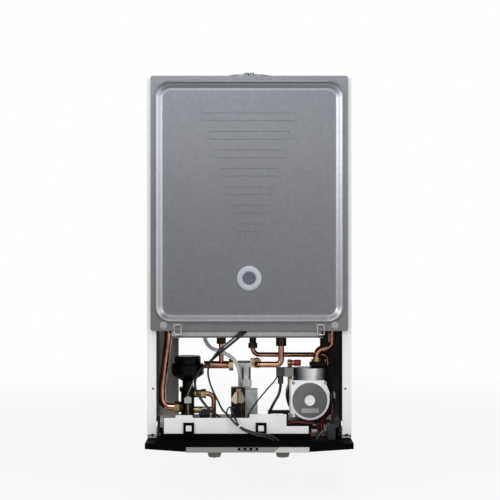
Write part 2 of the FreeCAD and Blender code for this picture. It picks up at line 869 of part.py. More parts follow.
def sight_glass():
    """The peep window: a ring on the cover's panel with a lens in it."""
    panel_face = cover_face + s.recess_depth
    back = s.cover_sheet + 3
    ring = turned("sight_ring", [
        (s.sight_lens, -back), (s.sight_hole - 0.2, -back), (s.sight_hole - 0.2, 0),
        (s.sight_radius, 0), (s.sight_radius, s.sight_rise * 0.4),
        (s.sight_radius * 0.94, s.sight_rise * 0.8), (s.sight_radius * 0.84, s.sight_rise),
        (s.sight_lens + 2, s.sight_rise), (s.sight_lens, s.sight_rise * 0.5),
    ])
    put(ring, 0, panel_face, -s.sight_level, "-y")
    node("sight_ring", ring)
    span = (panel_face - s.sight_rise * 0.3, panel_face + back)
    node("sight_lens", rod("y", (0, -s.sight_level), span, s.sight_lens))


def cover_screws():
    """Two captive screws, each with a washer face against the rim."""
    screws = []
    for side in (-1, 1):
        centre = (mirrored(s.screw_offset, side), -s.screw_level)
        seat = cover_face - s.washer_sheet
        washer = rod("y", centre, (seat, cover_face), s.washer_radius)
        head = hexagon("y", centre, (seat - 3.2, seat), s.screw_head)
        screws.append(fuse(head, washer, rod("y", centre, (seat, flange_plane + 8), s.screw_shank)))
    return screws


def latch_plates():
    """The two latch plates on the rim, each with the rolled eye that its bail turns in."""
    plates = []
    for side in (-1, 1):
        middle = mirrored(s.latch_offset, side)
        across = (middle - s.latch_width / 2, middle + s.latch_width / 2)
        high = cover_low + s.ridge_bottom - 0.5
        plate = block(across, (cover_face - s.latch_sheet, cover_face), (high - s.latch_height, high))
        eye_x = (middle - s.eye_width / 2, middle + s.eye_width / 2)
        axis = (bail_axis_y, -s.latch_level)
        eye = rod("x", axis, eye_x, s.eye_radius)
        bore = rod("x", axis, (eye_x[0] - 1, eye_x[1] + 1), s.bail_wire + s.pivot_fit)
        plates.append(cut(fuse(plate, eye), bore))
    return plates


def latch_bail(side, label):
    """A closed wire loop that hangs from the eye and hooks over the strike tab."""
    top = -s.latch_level
    wire = rounded(s.bail_width / 2, top - s.bail_length, top, 2 * s.bail_wire, bail_axis_y)
    wire.translate(Vector(float(mirrored(s.latch_offset, side)), 0, 0))
    return shaped(label, loop(wire, s.bail_wire))


def loop(wire, radius):
    """A round wire bent along a closed outline of lines and arcs, built edge by edge."""
    solids = []
    for edge in wire.Edges:
        start, tangent = edge.valueAt(edge.FirstParameter), edge.tangentAt(edge.FirstParameter)
        ring = Part.Face(Part.Wire(Part.Circle(start, tangent, float(radius)).toShape()))
        solids.append(Part.Wire([edge]).makePipe(ring))
    return solids[0].multiFuse(solids[1:]).removeSplitter()


# Flue outlet


def flue_collar():
    """The low outlet on the chamber's top: flange, air spigot, flue tube and two test points."""
    centre = (0, -s.flue_depth)
    low = chamber_top
    top = low + s.flange_sheet + s.spigot_height
    flange = rod("z", centre, (low, low + s.flange_sheet), s.flue_flange)
    spigot = rod("z", centre, (low, top), s.spigot_radius)
    air = rod("z", centre, (low + s.flange_sheet, top + 1), s.spigot_radius - s.flue_wall)
    tube = rod("z", centre, (low, top), s.flue_radius + s.flue_wall)
    bore = rod("z", centre, (low - 1, top + 1), s.flue_radius)
    collar = fuse(cut(fuse(flange, spigot), air), tube, *flue_fittings())
    return node("flue_collar", cut(collar, bore))


def flue_fittings():
    """Test points and flange screws on the flue outlet."""
    low = chamber_top + s.flange_sheet
    parts = []
    for side in (-1, 1):
        centre = (mirrored(s.test_offset, side), -s.test_depth)
        parts.append(rod("z", centre, (low - 1, low + s.test_height * 0.5), s.test_radius * 0.7))
        parts.append(rod("z", centre, (low + s.test_height * 0.5, low + s.test_height), s.test_radius))
    for turn in (45, 135, 225, 315):
        x = s.flue_screw_circle * math.cos(math.radians(turn))
        y = s.flue_screw_circle * math.sin(math.radians(turn)) - s.flue_depth
        parts.append(hexagon("z", (x, y), (low - 1, low + s.flue_screw), s.flue_screw * 1.15))
    return parts


# Chamber contents


def expansion_vessel():
    """A flat round pressure vessel between the rear frame and the chamber."""
    radius, depth = s.vessel_radius, s.vessel_depth
    flat, wall = radius * 0.82, radius * 0.97
    seam, seam_end = depth * 0.46, depth * 0.46 + s.vessel_rim
    body = turned("expansion_vessel", [
        (0, 0), (flat, 0), (wall, depth * 0.2), (wall, seam), (radius, seam), (radius, seam_end),
        (wall, seam_end), (wall, depth * 0.8), (flat, depth), (0, depth),
    ])
    put(body, 0, -s.rear_sheet, -s.vessel_level, "-y")
    return node("expansion_vessel", body)


def combustion_box():
    """The open-ended box round the flame with the ceramic boards that line it."""
    z = (-s.box_bottom, -s.box_top)
    wall, board = s.box_sheet, s.board_thick
    outer = block((-s.box_half, s.box_half), (-s.box_front, box_back), z)
    x0, x1, y0, y1 = wall - s.box_half, s.box_half - wall, wall - s.box_front, box_back - wall
    inner = block((x0, x1), (y0, y1), (z[0] - 1, z[1] + 1))
    boards = [
        block((x0, x0 + board), (y0, y1), z),
        block((x1 - board, x1), (y0, y1), z),
        block((x0 + board, x1 - board), (y1 - board, y1), z),
    ]
    front = cut(block((x0 + board, x1 - board), (y0, y0 + board), z), *electrodes())
    sheet_box = cut(outer, inner, *electrodes())
    return node("combustion_box", group(sheet_box, front, *boards))


def electrodes():
    """The two ceramic sleeves through the front of the combustion box, or the holes for them."""
    level = -s.box_bottom + 14
    inside = -s.box_front + s.box_sheet + s.board_thick + 6
    return [rod("y", (x, level), (-s.box_front - 12, inside), s.ceramic_radius) for x in (-12, 12)]


def ignition_rods():
    """The ceramic sleeves with the ignition rods in them."""
    level = -s.box_bottom + 14
    inside = -s.box_front + s.box_sheet + s.board_thick + 20
    sleeves = electrodes()
    rods = [rod("y", (x, level), (-s.box_front - 22, inside), s.electrode_radius) for x in (-12, 12)]
    return [fuse(*pair) for pair in zip(sleeves, rods)]


def heat_exchanger():
    """Copper fins on water tubes between two end plates, standing on the combustion box."""
    top = exchanger_low + s.fin_height
    y = exchanger_y
    parts = []
    for i in range(int(s.fin_count)):
        x = s.fin_pitch * (i - (int(s.fin_count) - 1) / 2)
        parts.append(block((x - s.fin_sheet / 2, x + s.fin_sheet / 2), y, (exchanger_low, top)))
    half = s.fin_pitch * int(s.fin_count) / 2
    _, header_low, header_end, level = header_places()
    for i in range(int(s.core_count)):
        depth = y[0] + s.fin_depth * ((i + 0.5) / int(s.core_count))
        parts.append(rod("x", (depth, level), (-half - 12, half + 12), s.core_radius))
    for side in (-1, 1):
        parts.append(block(sided(side, half, half + 2), y, (exchanger_low, top)))
        parts.append(block(sided(side, half + 10, header_end), y, (header_low, level + 14)))
    return node("heat_exchanger", fuse(*parts))


def header_places():
    """The pipes' places on the end headers: middle, lower face, outer face and level."""
    half = s.fin_pitch * int(s.fin_count) / 2
    level = exchanger_low + s.fin_height * 0.45
    return half + 24, level - 14, half + 34, level


def burner():
    """Burner bars under the combustion box, on two cross rails."""
    top = -s.box_bottom
    low = top - s.burner_height
    bars = []
    for i in range(int(s.burner_count)):
        x = s.burner_pitch * (i - (int(s.burner_count) - 1) / 2)
        wide = s.burner_width / 2
        bar = block((x - wide, x + wide), burner_y, (low, top - 3))
        slots = []
        for j in range(6):
            y = burner_y[0] + s.burner_length * ((j + 0.5) / 6)
            slots.append(block((x - wide * 0.6, x + wide * 0.6), (y - 3, y + 3), (top - 6, top)))
        bars.append(cut(bar, *slots))
    rails = []
    for y in (burner_y[0] + 8, burner_y[1] - 8):
        rails.append(block((-s.box_half, s.box_half), (y - 4, y + 4), (low - 2, low)))
    for side in (-1, 1):
        across = sided(side, s.box_half - s.box_sheet, s.box_half)
        rails.append(block(across, burner_y, (low - 2, top)))
    return node("burner", group(fuse(*rails), gas_manifold(), *ignition_rods(), *bars))


def gas_manifold():
    """The gas rail in front of the burner, with one jet for each bar."""
    half = s.burner_pitch * int(s.burner_count) / 2
    parts = [rod("x", (manifold_y, manifold_z), (-half, half), s.manifold_radius)]
    for i in range(int(s.burner_count)):
        x = s.burner_pitch * (i - (int(s.burner_count) - 1) / 2)
        parts.append(rod("y", (x, manifold_z), (manifold_y, burner_y[0]), 3))
    socket_z = (manifold_z - s.manifold_radius - 14, manifold_z)
    parts.append(rod("z", (s.gas_x, manifold_y), socket_z, s.mid_pipe + 2))
    seat = rod("z", (s.gas_x, manifold_y), (socket_z[0] - 1, socket_z[0] + 10), s.mid_pipe)
    return cut(fuse(*parts), seat)


def flue_hood():
    """A tapered hood from the exchanger up to the fan."""
    half, mouth, wall = s.fin_pitch * int(s.fin_count) / 2 + 2, s.hood_mouth, s.fan_wall
    wedges = []
    for shrink in (0, wall):
        wedge = doc.addObject("Part::Wedge", "hood")
        bind(wedge, Xmin=shrink - half, Xmax=half - shrink, X2min=shrink - mouth, X2max=mouth - shrink)
        bind(wedge, Zmin=shrink - exchanger_y[1], Zmax=-exchanger_y[0] - shrink)
        bind(wedge, Z2min=shrink + 6 - fan_y[1], Z2max=-fan_y[0] - 6 - shrink)
        bind(wedge, Ymin=0, Ymax=s.hood_height)
        wedge.Placement = Placement(Vector(), Rotation(Vector(1, 0, 0), 90))
        wedges.append(bind(wedge, Placement__Base__z=hood_low))
    return node("flue_hood", cut(*wedges))


def fan_scroll():
    """The fan's drum housing, its inlet from the hood and its outlet up to the flue."""
    wall = s.fan_wall
    outer = rod("y", (0, fan_z), fan_y, s.fan_radius)
    outlet_low = fan_z + s.motor_radius + 2
    outlet_z = (outlet_low, chamber_top - s.outlet_gap)
    outlet = rod("z", (0, -s.flue_depth), outlet_z, s.fan_outlet + s.flue_wall)
    inner = rod("y", (0, fan_z), (fan_y[0] + wall, fan_y[1] - wall), s.fan_radius - wall)
    duct = rod("z", (0, -s.flue_depth), (outlet_low, chamber_top + 1), s.fan_outlet)
    inlet = rod("z", (0, -s.flue_depth), (hood_low, fan_z), s.fan_outlet - 11)
    shaft = rod("y", (0, fan_z), (fan_y[0] - 1, fan_y[0] + wall + 1), s.fan_shaft + 0.5)
    return node("fan_housing", cut(fuse(outer, outlet), inner, duct, inlet, shaft))


def fan_wheel():
    """The fan's bladed wheel with its shaft."""
    middle = (fan_y[0] + fan_y[1]) / 2
    low, high = middle - s.wheel_width / 2, middle + s.wheel_width / 2
    parts = [rod("y", (0, fan_z), (low, low + 2), s.wheel_radius)]
    parts.append(rod("y", (0, fan_z), (low, low + 12), s.fan_shaft + 4))
    parts.append(rod("y", (0, fan_z), (fan_y[0] - s.motor_length * 0.6, low + 2), s.fan_shaft))
    rim = rod("y", (0, fan_z), (high - 2, high), s.wheel_radius)
    parts.append(cut(rim, rod("y", (0, fan_z), (high - 3, high + 1), s.wheel_radius - s.blade_depth)))
    for i in range(int(s.blade_count)):
        turn = 360 / int(s.blade_count) * i
        blade = doc.addObject("Part::Box", "blade")
        bind(blade, Length=s.blade_depth, Width=s.wheel_width, Height=s.blade_sheet)
        spin = Rotation(Vector(0, 1, 0), turn)
        blade.Placement = Placement(Vector(), spin)
        start = s.wheel_radius - s.blade_depth
        bind(blade, Placement__Base__x=start * math.cos(math.radians(turn)), Placement__Base__y=low)
        bind(blade, Placement__Base__z=fan_z - start * math.sin(math.radians(turn)))
        parts.append(blade)
    return node("fan_wheel", fuse(*parts))


def fan_motor():
    """The fan's motor in front of its housing, with a blind bearing hole for the shaft."""
    centre = (0, fan_z)
    body = rod("y", centre, (fan_y[0] - s.motor_length, fan_y[0]), s.motor_radius)
    bore = rod("y", centre, (fan_y[0] - s.motor_length * 0.6 - 1, fan_y[0] + 1), s.fan_shaft + s.shaft_fit)
    return node("fan_motor", cut(body, bore))


def pressure_switch():
    """The air pressure switch on the chamber's right wall."""
    inner = chamber_half - s.chamber_sheet
    centre = (-s.flue_depth, -s.switch_level)
    disc = rod("x", centre, (inner - s.switch_width, inner - s.switch_width * 0.3), s.switch_radius)
    foot = rod("x", centre, (inner - s.switch_width * 0.3, inner), s.switch_radius * 0.7)
    front = inner - s.switch_width
    nipples = []
    for y in (-s.flue_depth - 10, -s.flue_depth + 10):
        nipples.append(rod("x", (y, -s.switch_level), (front - 10, front), 3))
    return node("pressure_switch", fuse(disc, foot, *nipples))


# Connections under the case


def tail_places():
    """(x, radius) of the five connection tails, from the heating flow to the heating return."""
    return [
        (-s.diverter_x, s.tail_large),
        (-s.hot_x, s.tail_small),
        (-s.gas_inlet_x, s.tail_large),
        (s.cold_tail_x, s.tail_small),
        (s.pump_x, s.tail_large),
    ]


def connection_rail():
    """The folded plate that carries the tails."""
    plate = block((-inner_wall, inner_wall), (-s.rail_front, -s.rear_sheet), (-s.rail_drop, rail_top))
    lip_y = (-s.rear_sheet - s.rail_sheet, -s.rear_sheet)
    lip = block((-inner_wall, inner_wall), lip_y, (-s.rail_drop, -s.rail_drop + s.rail_rear_lip))
    rail = fuse(plate, lip)
    for x, radius in tail_places():
        rail = cut(rail, rod("z", (x, plane), (-s.rail_drop - 1, rail_top + 1), radius + s.tail_fit))
    return rail


def connection_tails():
    """Five threaded brass tails, each hung by its collar in the rail."""
    tails = []
    for x, radius in tail_places():
        centre = (x, plane)
        body = fuse(
            rod("z", centre, (-s.tail_drop, -s.rail_drop), radius),
            rod("z", centre, (-s.rail_drop, rail_top), radius - s.tail_fit),
            rod("z", centre, (rail_top, tail_top), radius + s.tail_collar),
        )
        tails.append(cut(body, rod("z", centre, (-s.tail_drop - 1, tail_top + 1), radius - s.tail_wall)))
    return node("connection_tails", group(*tails))


def diverter():
    """The black diverter valve: cap, drum and cone on its brass column."""
    drum_top = s.cap_height
    drum_low = s.cap_height + s.drum_height
    cone_low = drum_low + s.cone_height
    neck_low = s.neck_bottom - s.cap_top
    body = turned("diverter_valve", [
        (0, -neck_low), (s.neck_radius, -neck_low), (s.neck_radius, -cone_low),
        (s.drum_radius * 0.86, -drum_low), (s.drum_radius, 4 - drum_low), (s.drum_radius, -drum_top - 2),
        (s.drum_radius - 2, -drum_top),
        (s.cap_radius, -drum_top), (s.cap_radius, -2.5), (s.cap_radius - 2.5, 0), (0, 0),
    ])
    put(body, -s.diverter_x, plane, -s.cap_top)
    return node("diverter_valve", body)


def flow_column():
    """The brass column under the diverter, with its flow inlet, hot-water branch and filling tap body."""
    centre = (-s.diverter_x, plane)
    top = -s.neck_bottom
    flow_end = -s.diverter_x - s.flow_socket
    flow_in = rod("x", (plane, -s.flow_level), (flow_end, -s.diverter_x), s.thick_pipe + 3)
    branch = rod("x", (plane, -s.branch_level), (-s.diverter_x, -s.diverter_x + 28), s.thin_pipe + 3)
    tap = rod("x", (plane, -s.tap_level), (-s.diverter_x, -s.hot_x - s.thin_pipe), 7)
    stem = rod("y", (-s.tap_x, -s.tap_level), (s.tap_width - s.tap_front, plane), 8)
    parts = [rod("z", centre, (tail_top, top), s.column_radius), flow_in, branch, tap, stem]
    parts.append(rod("z", centre, (top - 9, top), s.column_radius + 3))
    seat = rod("x", (plane, -s.flow_level), (flow_end - 1, flow_end + 8), s.thick_pipe)
    hot = rod("x", (plane, -s.branch_level), (-s.diverter_x + 19, -s.diverter_x + 29), s.thin_pipe)
    spindle_y = (s.tap_width - s.tap_front - 1, plane - 8)
    spindle = rod("y", (-s.tap_x, -s.tap_level), spindle_y, s.tap_spindle + s.shaft_fit)
    return node("flow_column", cut(fuse(*parts), seat, hot, spindle))


def ribs(along, centre, span, circle, radius, count):
    """Round ribs along an axis in a ring, for a knob's grip."""
    bars = []
    for i in range(count):
        turn = 2 * math.pi * i / count
        place = (circle * math.cos(turn) + centre[0], circle * math.sin(turn) + centre[1])
        bars.append(rod(along, place, span, radius))
    return bars


def tap_knob():
    """The ribbed filling-tap knob with its spindle."""
    centre = (-s.tap_x, -s.tap_level)
    front, back = -s.tap_front, s.tap_width - s.tap_front
    parts = [
        rod("y", centre, (front + 2, back - 1), s.tap_radius - 1),
        rod("y", centre, (front, front + 2), s.tap_radius * 0.6),
        rod("y", centre, (back - 1, plane - 9), s.tap_spindle),
    ]
    parts += ribs("y", centre, (front + 2, back - 1), s.tap_radius - s.tap_rib, s.tap_rib, 12)
    return node("filling_tap_knob", fuse(*parts))


def hollow_nut(along, centre, span, bore):
    """A hexagonal union nut round a pipe."""
    hole = rod(along, centre, (span[0] - 1, span[1] + 1), bore)
    return cut(hexagon(along, centre, span, bore + s.nut_spare), hole)


def sleeved_nut(hole, top):
    """A union nut below a plain sleeve, round an upright pipe."""
    x, y, radius = hole
    middle = top - s.sleeve_height
    low = middle - s.low_nut
    nut = hexagon("z", (x, y), (low, middle), radius + s.nut_spare)
    sleeve = rod("z", (x, y), (middle - 1, top), radius + s.sleeve_wall)
    return cut(fuse(nut, sleeve), rod("z", (x, y), (low - 1, top + 1), radius))


def union_nuts():
    """Brass nuts on the pipe joints."""
    flow_end, hot_start = -s.diverter_x - s.flow_socket, -s.diverter_x + 28
    nuts = [
        hollow_nut("x", (plane, -s.flow_level), (flow_end - 10, flow_end), s.thick_pipe),
        hollow_nut("x", (plane, -s.branch_level), (hot_start, hot_start + 10), s.thin_pipe),
        hollow_nut("y", (outlet_x, -s.gas_level), (-s.valve_front - 7, -s.valve_front), s.mid_pipe),
        hollow_nut("x", (plane, -s.collector_level), (-s.collector_end, 9 - s.collector_end), s.thick_pipe),
    ]
    top = pan_bottom - s.grommet_rise
    riser, cold, gas = floor_holes()[2:5]
    for x, y, radius in (riser, gas):
        nuts.append(hollow_nut("z", (x, y), (top - s.nut_height, top), radius))
    nuts.append(sleeved_nut(cold, top))
    return nuts


def water_pipes():
    """The flow, return, cold, gas and hot-water pipes."""
    header, header_z, header_end, header_mid = header_places()
    far_y = (exchanger_y[0] + exchanger_y[1]) / 2
    pipe("flow_pipe", [
        (-header, far_y, header_z), (-header, far_y, header_z - s.header_drop),
        (-s.flow_top_x, plane, header_z - s.header_run), (-s.flow_top_x, plane, pan_bottom - 6),
        (-s.flow_low_x, plane, -s.flow_level + s.flow_rise), (-s.flow_low_x, plane, -s.flow_level),
        (-s.diverter_x - s.flow_socket + 8, plane, -s.flow_level),
    ], s.thick_pipe, s.bend_large)
    pipe("return_pipe", [
        (header, far_y, header_z), (header, far_y, header_z - s.header_drop),
        (s.return_x, plane, header_z - s.header_run), (s.return_x, plane, -s.inlet_top + 32),
        (s.inlet_x, plane, -s.inlet_top + 25), (s.inlet_x, plane, -s.inlet_top - s.inlet_sheet),
    ], s.thick_pipe, s.bend_small)
    pipe("cold_pipe", [
        (header_end, -s.cold_depth, header_mid), (header_end + 18, -s.cold_depth, header_mid),
        (header_end + 18, -s.cold_depth, inner_level), (s.cold_x, -s.cold_depth, inner_level),
        (s.cold_x, -s.cold_depth, -s.cold_level), (s.sensor_left + 10, -s.cold_depth, -s.cold_level),
        (s.sensor_left + 10, -s.cold_depth, -s.sensor_top),
    ], s.thin_pipe, s.bend_small)
    pipe("gas_pipe", [
        (outlet_x, -s.valve_front + 12, -s.gas_level), (outlet_x, -s.gas_depth, -s.gas_level),
        (s.gas_x, -s.gas_depth, -s.gas_level), (s.gas_x, -s.gas_depth, chamber_floor + 8),
        (s.gas_x, manifold_y, chamber_floor + 30), (s.gas_x, manifold_y, manifold_z - s.manifold_radius - 4),
    ], s.mid_pipe, s.bend_tight)
    hot_water_pipes(header_end, header_mid)


def hot_water_pipes(header_end, header_mid):
    """The hot-water riser with the collector it joins, and the pipe down to the hot-water tail."""
    riser = [
        (-header_end, -s.cold_depth, header_mid), (-header_end - 18, -s.cold_depth, header_mid),
        (-header_end - 18, -s.cold_depth, inner_level), (-s.riser_x, plane, inner_level),
        (-s.riser_x, plane, -s.collector_level),
    ]
    collector = [
        (-s.diverter_x + s.drum_radius, plane, -s.collector_level),
        (9 - s.collector_end, plane, -s.collector_level),
    ]
    joined = tube_shape(riser, s.thin_pipe, 0, s.bend_small).fuse(tube_shape(collector, s.thick_pipe))
    joined = joined.cut(tube_shape(riser, s.thin_pipe - s.pipe_wall, 0, s.bend_small))
    bore_end = (4 - s.collector_end, plane, -s.collector_level)
    joined = joined.cut(tube_shape([collector[0], bore_end], s.thick_pipe - s.pipe_wall))
    tail = [
        (-s.diverter_x + 19, plane, -s.branch_level), (-s.hot_x, plane, -s.branch_level),
        (-s.hot_x, plane, tail_top),
    ]
    lower = tube_shape(tail, s.thin_pipe, s.thin_pipe - s.pipe_wall, s.bend_small)
    return shaped("hot_water_pipes", Part.Compound([joined.removeSplitter(), lower]))


# Gas valve


def gas_valve():
    """The die-cast gas valve: grooved column, top flange, clamp, side outlet and lower block."""
    x, y = (-s.valve_left, s.valve_right), (-s.valve_front, -s.valve_back)
    z = (-s.valve_bottom, -s.valve_top)
    parts = [block(x, y, z)]
    parts.append(block((x[0] - 1, x[1] + 0.5), (y[0] - 3, y[1] + 3), (z[1] - 7, z[1])))
    parts.append(block((x[0] + 2, x[1] + 2), (y[0] - 5, y[0] + 6), (z[1] - 48, z[1] - 36)))
    outlet_y = (-s.valve_front, -s.valve_front + 30)
    parts.append(block((x[1] - 1, outlet_x), outlet_y, (-s.gas_level - 8, -s.gas_level + 8)))
    parts.append(rod("y", (outlet_x, -s.gas_level), outlet_y, s.outlet_radius))
    parts.append(block((-s.coil_right, s.block_right), (-s.block_front, y[0] + 14), (z[0], -s.block_top)))
    parts.append(rod("z", (-s.gas_inlet_x, plane), (tail_top, z[0] + 1), s.tail_large + 2))
    screw = (s.block_right - 10, -s.block_top - 8)
    parts.append(rod("y", screw, (-s.block_front - 3, 1 - s.block_front), 5.2))
    slot_z = (-s.block_top - 8.7, -s.block_top - 7.3)
    slot = block((s.block_right - 16, s.block_right - 4), (-s.block_front - 4, -s.block_front - 2), slot_z)
    valve = cut(fuse(*parts), slot)
    for groove in (x[0] + 7, x[1] - 4.5):
        valve = cut(valve, block((groove, groove + 4.6), (y[0] - 4, y[0] + 9), (z[1] - 34, z[1] - 9)))
    seat = rod("y", (outlet_x, -s.gas_level), (-s.valve_front - 1, -s.valve_front + 12), s.mid_pipe)
    return node("gas_valve", cut(valve, seat))


def gas_valve_parts():
    """The valve's coil and its cream plug."""
    coil_x, coil_y = (-s.coil_left, -s.coil_right), (-s.coil_front, -s.valve_front)
    coil_z = (-s.valve_bottom, -s.coil_top)
    node("valve_coil", block(coil_x, coil_y, coil_z))
    plug_z = (-s.coil_top - 5 - s.plug_height, -s.coil_top - 5)
    plug_front = -s.coil_front - s.plug_thick
    body = block((coil_x[0] + 2, coil_x[1] - 2), (plug_front, -s.coil_front), plug_z)
    notches = []
    for i in range(3):
        x = coil_x[0] + 4.5 + 7 * i
        notches.append(block((x, x + 5), (plug_front - 1, plug_front + 4), (plug_z[0] - 1, plug_z[0] + 9)))
    return node("coil_plug", cut(body, *notches))


# Pump


def pump_group():
    """The composite return group: volute, lower bar, inlet flange and flow-sensor housing."""
    face = s.motor_deep - s.pump_front
    back = face + s.volute_deep
    centre = (s.pump_x, -s.pump_level)
    volute = rod("y", centre, (face, back), s.volute_radius)
    bar = block((s.group_left, s.group_right), (plane - 16, back), (tail_top, -s.group_top))
    stem_x = (s.inlet_x - 11, s.inlet_x + 11)
    stem = block(stem_x, (plane - 9, back), (-s.pump_level, -s.inlet_top - s.inlet_sheet))
    flange_x = (s.inlet_x - s.inlet_width / 2, s.inlet_x + s.inlet_width / 2)
    flange = block(flange_x, (plane - 12, plane + 14), (-s.inlet_top - s.inlet_sheet, -s.inlet_top))
    sensor = block((s.sensor_left, s.group_right), (plane - 4, back), (-s.group_top - 1, -s.sensor_top))
    cavity = rod("y", centre, (face - 1, face + 26), s.impeller_radius + s.rotor_fit)
    bearing = rod("y", centre, (face + 25, face + 40), s.shaft_radius + s.shaft_fit)
    inlet = rod("z", (s.inlet_x, plane), (-s.inlet_top - s.inlet_sheet, -s.inlet_top + 1), s.thick_pipe)
    motor_room = block(
        (s.pump_x - s.motor_square / 2 - 1, s.pump_x + s.motor_square / 2 + 0.5),
        (-s.pump_front, face), (-s.pump_level - s.motor_square / 2 - 0.5, -s.inlet_top - s.inlet_sheet - 1),
    )
    solid = fuse(cut(fuse(bar, stem, sensor), motor_room), volute, flange)
    return node("pump_group", cut(solid, cavity, bearing, inlet))


def pump_motor():
    """The silver motor: a drum with a square head, one foot, a raised face ring and the rotor's chamber."""
    half = s.motor_square / 2
    points = [
        (-half, -s.foot_drop), (s.foot_width - half, -s.foot_drop), (s.foot_width - half, 0), (half, 0),
        (half, half - s.corner_down), (half - s.corner_across, half),
        (s.corner_left - half, half), (-half, half - s.corner_left),
    ]
    body = padded("motor_block", "XZ_Plane", points, s.motor_deep - s.ring_rise)
    put(body, s.pump_x, s.motor_deep - s.pump_front, -s.pump_level)
    face = s.ring_rise - s.pump_front
    centre = (s.pump_x, -s.pump_level)
    ring = rod("y", centre, (-s.pump_front, s.motor_deep - s.pump_front), s.ring_radius - 0.3)
    dish = rod("y", centre, (-s.pump_front - 1, face - 1.5), s.label_radius)
    room = rod("y", centre, (face + 12, s.motor_deep - s.pump_front + 1), s.rotor_radius + s.rotor_fit)
    nose = rod("y", centre, (face + 6, face + 13), s.shaft_radius + s.shaft_fit)
    vent = rod("y", centre, (-s.pump_front - 1, face + 5), s.vent_shank + s.shaft_fit)
    return node("pump_motor", cut(fuse(body, ring), dish, room, nose, vent))


def pump_label():
    """The bare label disc in the motor's face, and the vent plug in its middle."""
    face = s.ring_rise - s.pump_front
    centre = (s.pump_x, -s.pump_level)
    span = (face - 2.4, face - 1.5)
    disc = rod("y", centre, span, s.label_radius)
    node("pump_label", cut(disc, rod("y", centre, (span[0] - 1, span[1] + 1), s.vent_shank + 0.5)))
    head = rod("y", centre, (span[0] - s.vent_rise, span[0] - 0.3), s.vent_radius)
    shank = rod("y", centre, (span[0] - 0.3, face + 4.5), s.vent_shank)
    slot_z = (-s.pump_level - 1, -s.pump_level + 1)
    slot_y = (span[0] - s.vent_rise - 1, span[0] - s.vent_rise + 1.5)
    slot = block((s.pump_x - 7, s.pump_x + 7), slot_y, slot_z)
    node("pump_vent_plug", cut(fuse(head, shank), slot))


def pump_rotor():
    """The pump's rotor, shaft and impeller."""
    face = s.ring_rise - s.pump_front
    joint = s.motor_deep - s.pump_front
    centre = (s.pump_x, -s.pump_level)
    parts = [
        rod("y", centre, (face + 7, joint + 39), s.shaft_radius),
        rod("y", centre, (face + 13, joint - 2), s.rotor_radius),
        rod("y", centre, (joint + 3, joint + 6), s.impeller_radius),
        rod("y", centre, (joint + 16, joint + 19), s.impeller_radius),
    ]
    vanes = []
    for i in range(6):
        turn = math.radians(60 * i)
        hub = s.impeller_radius * 0.6
        vane = (hub * math.cos(turn) + s.pump_x, hub * math.sin(turn) - s.pump_level)
        vanes.append(rod("y", vane, (joint + 6, joint + 16), 4))
    return node("pump_rotor", fuse(*parts, *vanes))


def terminal_layer(low, high):
    """A slice of the terminal box, rounded at its front corners."""
    x = (s.pump_x - s.terminal_width / 2, s.pump_x + s.terminal_width / 2)
    front, back = 3 - s.pump_front, s.motor_deep - s.pump_front - 16
    r = s.terminal_round
    parts = [
        block(x, (front + r, back), (low, high)),
        block((x[0] + r, x[1] - r), (front, front + r + 1), (low, high)),
    ]
    parts += [rod("z", (edge, front + r), (low, high), r) for edge in (x[0] + r, x[1] - r)]
    return fuse(*parts)


def terminal_box():
    """The glossy terminal box on the motor, with its lid."""
    low = -s.pump_level + s.motor_square / 2
    high = -s.inlet_top - s.inlet_sheet - 1.2
    return node("terminal_box", group(terminal_layer(low, high - 2), terminal_layer(high - 2, high)))


def pump_plug():
    """The pump's plug on the left of the terminal box, with its grey gland and strain relief."""
    left = s.pump_x - s.terminal_width / 2
    y = (12 - s.pump_front, 32 - s.pump_front)
    middle = -s.pump_level + s.motor_square / 2 + s.terminal_height * 0.55
    gland = block((left - 18, left), y, (middle - 9, middle + 9))
    black = block((left - 35, left - 18), y, (middle - 8, middle + 9))
    relief = rod("z", (left - 26, (y[0] + y[1]) / 2), (middle - 24, middle - 8), 5.5, 6)
    return node("pump_plug", group(gland, black, relief))


def relief_valve():
    """The safety valve over the plug: a brass body on a leg from the return group, with a red knob."""
    face = s.motor_deep - s.pump_front
    front = plane - s.relief_front
    back = (s.relief_x - s.relief_body * 2, -s.relief_level)
    axis = (front, -s.relief_level)
    knob_start = s.relief_x - 2
    body = rod("x", axis, (s.relief_x - s.relief_length, knob_start), s.relief_body + 1)
    arm = rod("y", back, (front, face + 20), s.relief_body)
    leg = rod("z", (back[0], face + 12), (-s.pump_level, back[1]), s.relief_body)
    bore = rod("x", axis, (knob_start - 11, knob_start + 1), 2 + s.shaft_fit)
    volute = rod("y", (s.pump_x, -s.pump_level), (face, face + s.volute_deep), s.volute_radius)
    fittings = [*union_nuts(), cut(fuse(body, arm, leg), bore, volute)]
    node("brass_fittings", group(*fittings))
    knob = rod("x", axis, (knob_start + 0.3, knob_start + s.relief_length), s.relief_radius)
    stem = rod("x", axis, (knob_start - 10, knob_start + 1), 2)
    grip = ribs("x", axis, (knob_start + 2, knob_start + 13), s.relief_radius, s.tap_rib / 2, 8)
    node("relief_knob", fuse(knob, stem, *grip))


# Control panel, lowered


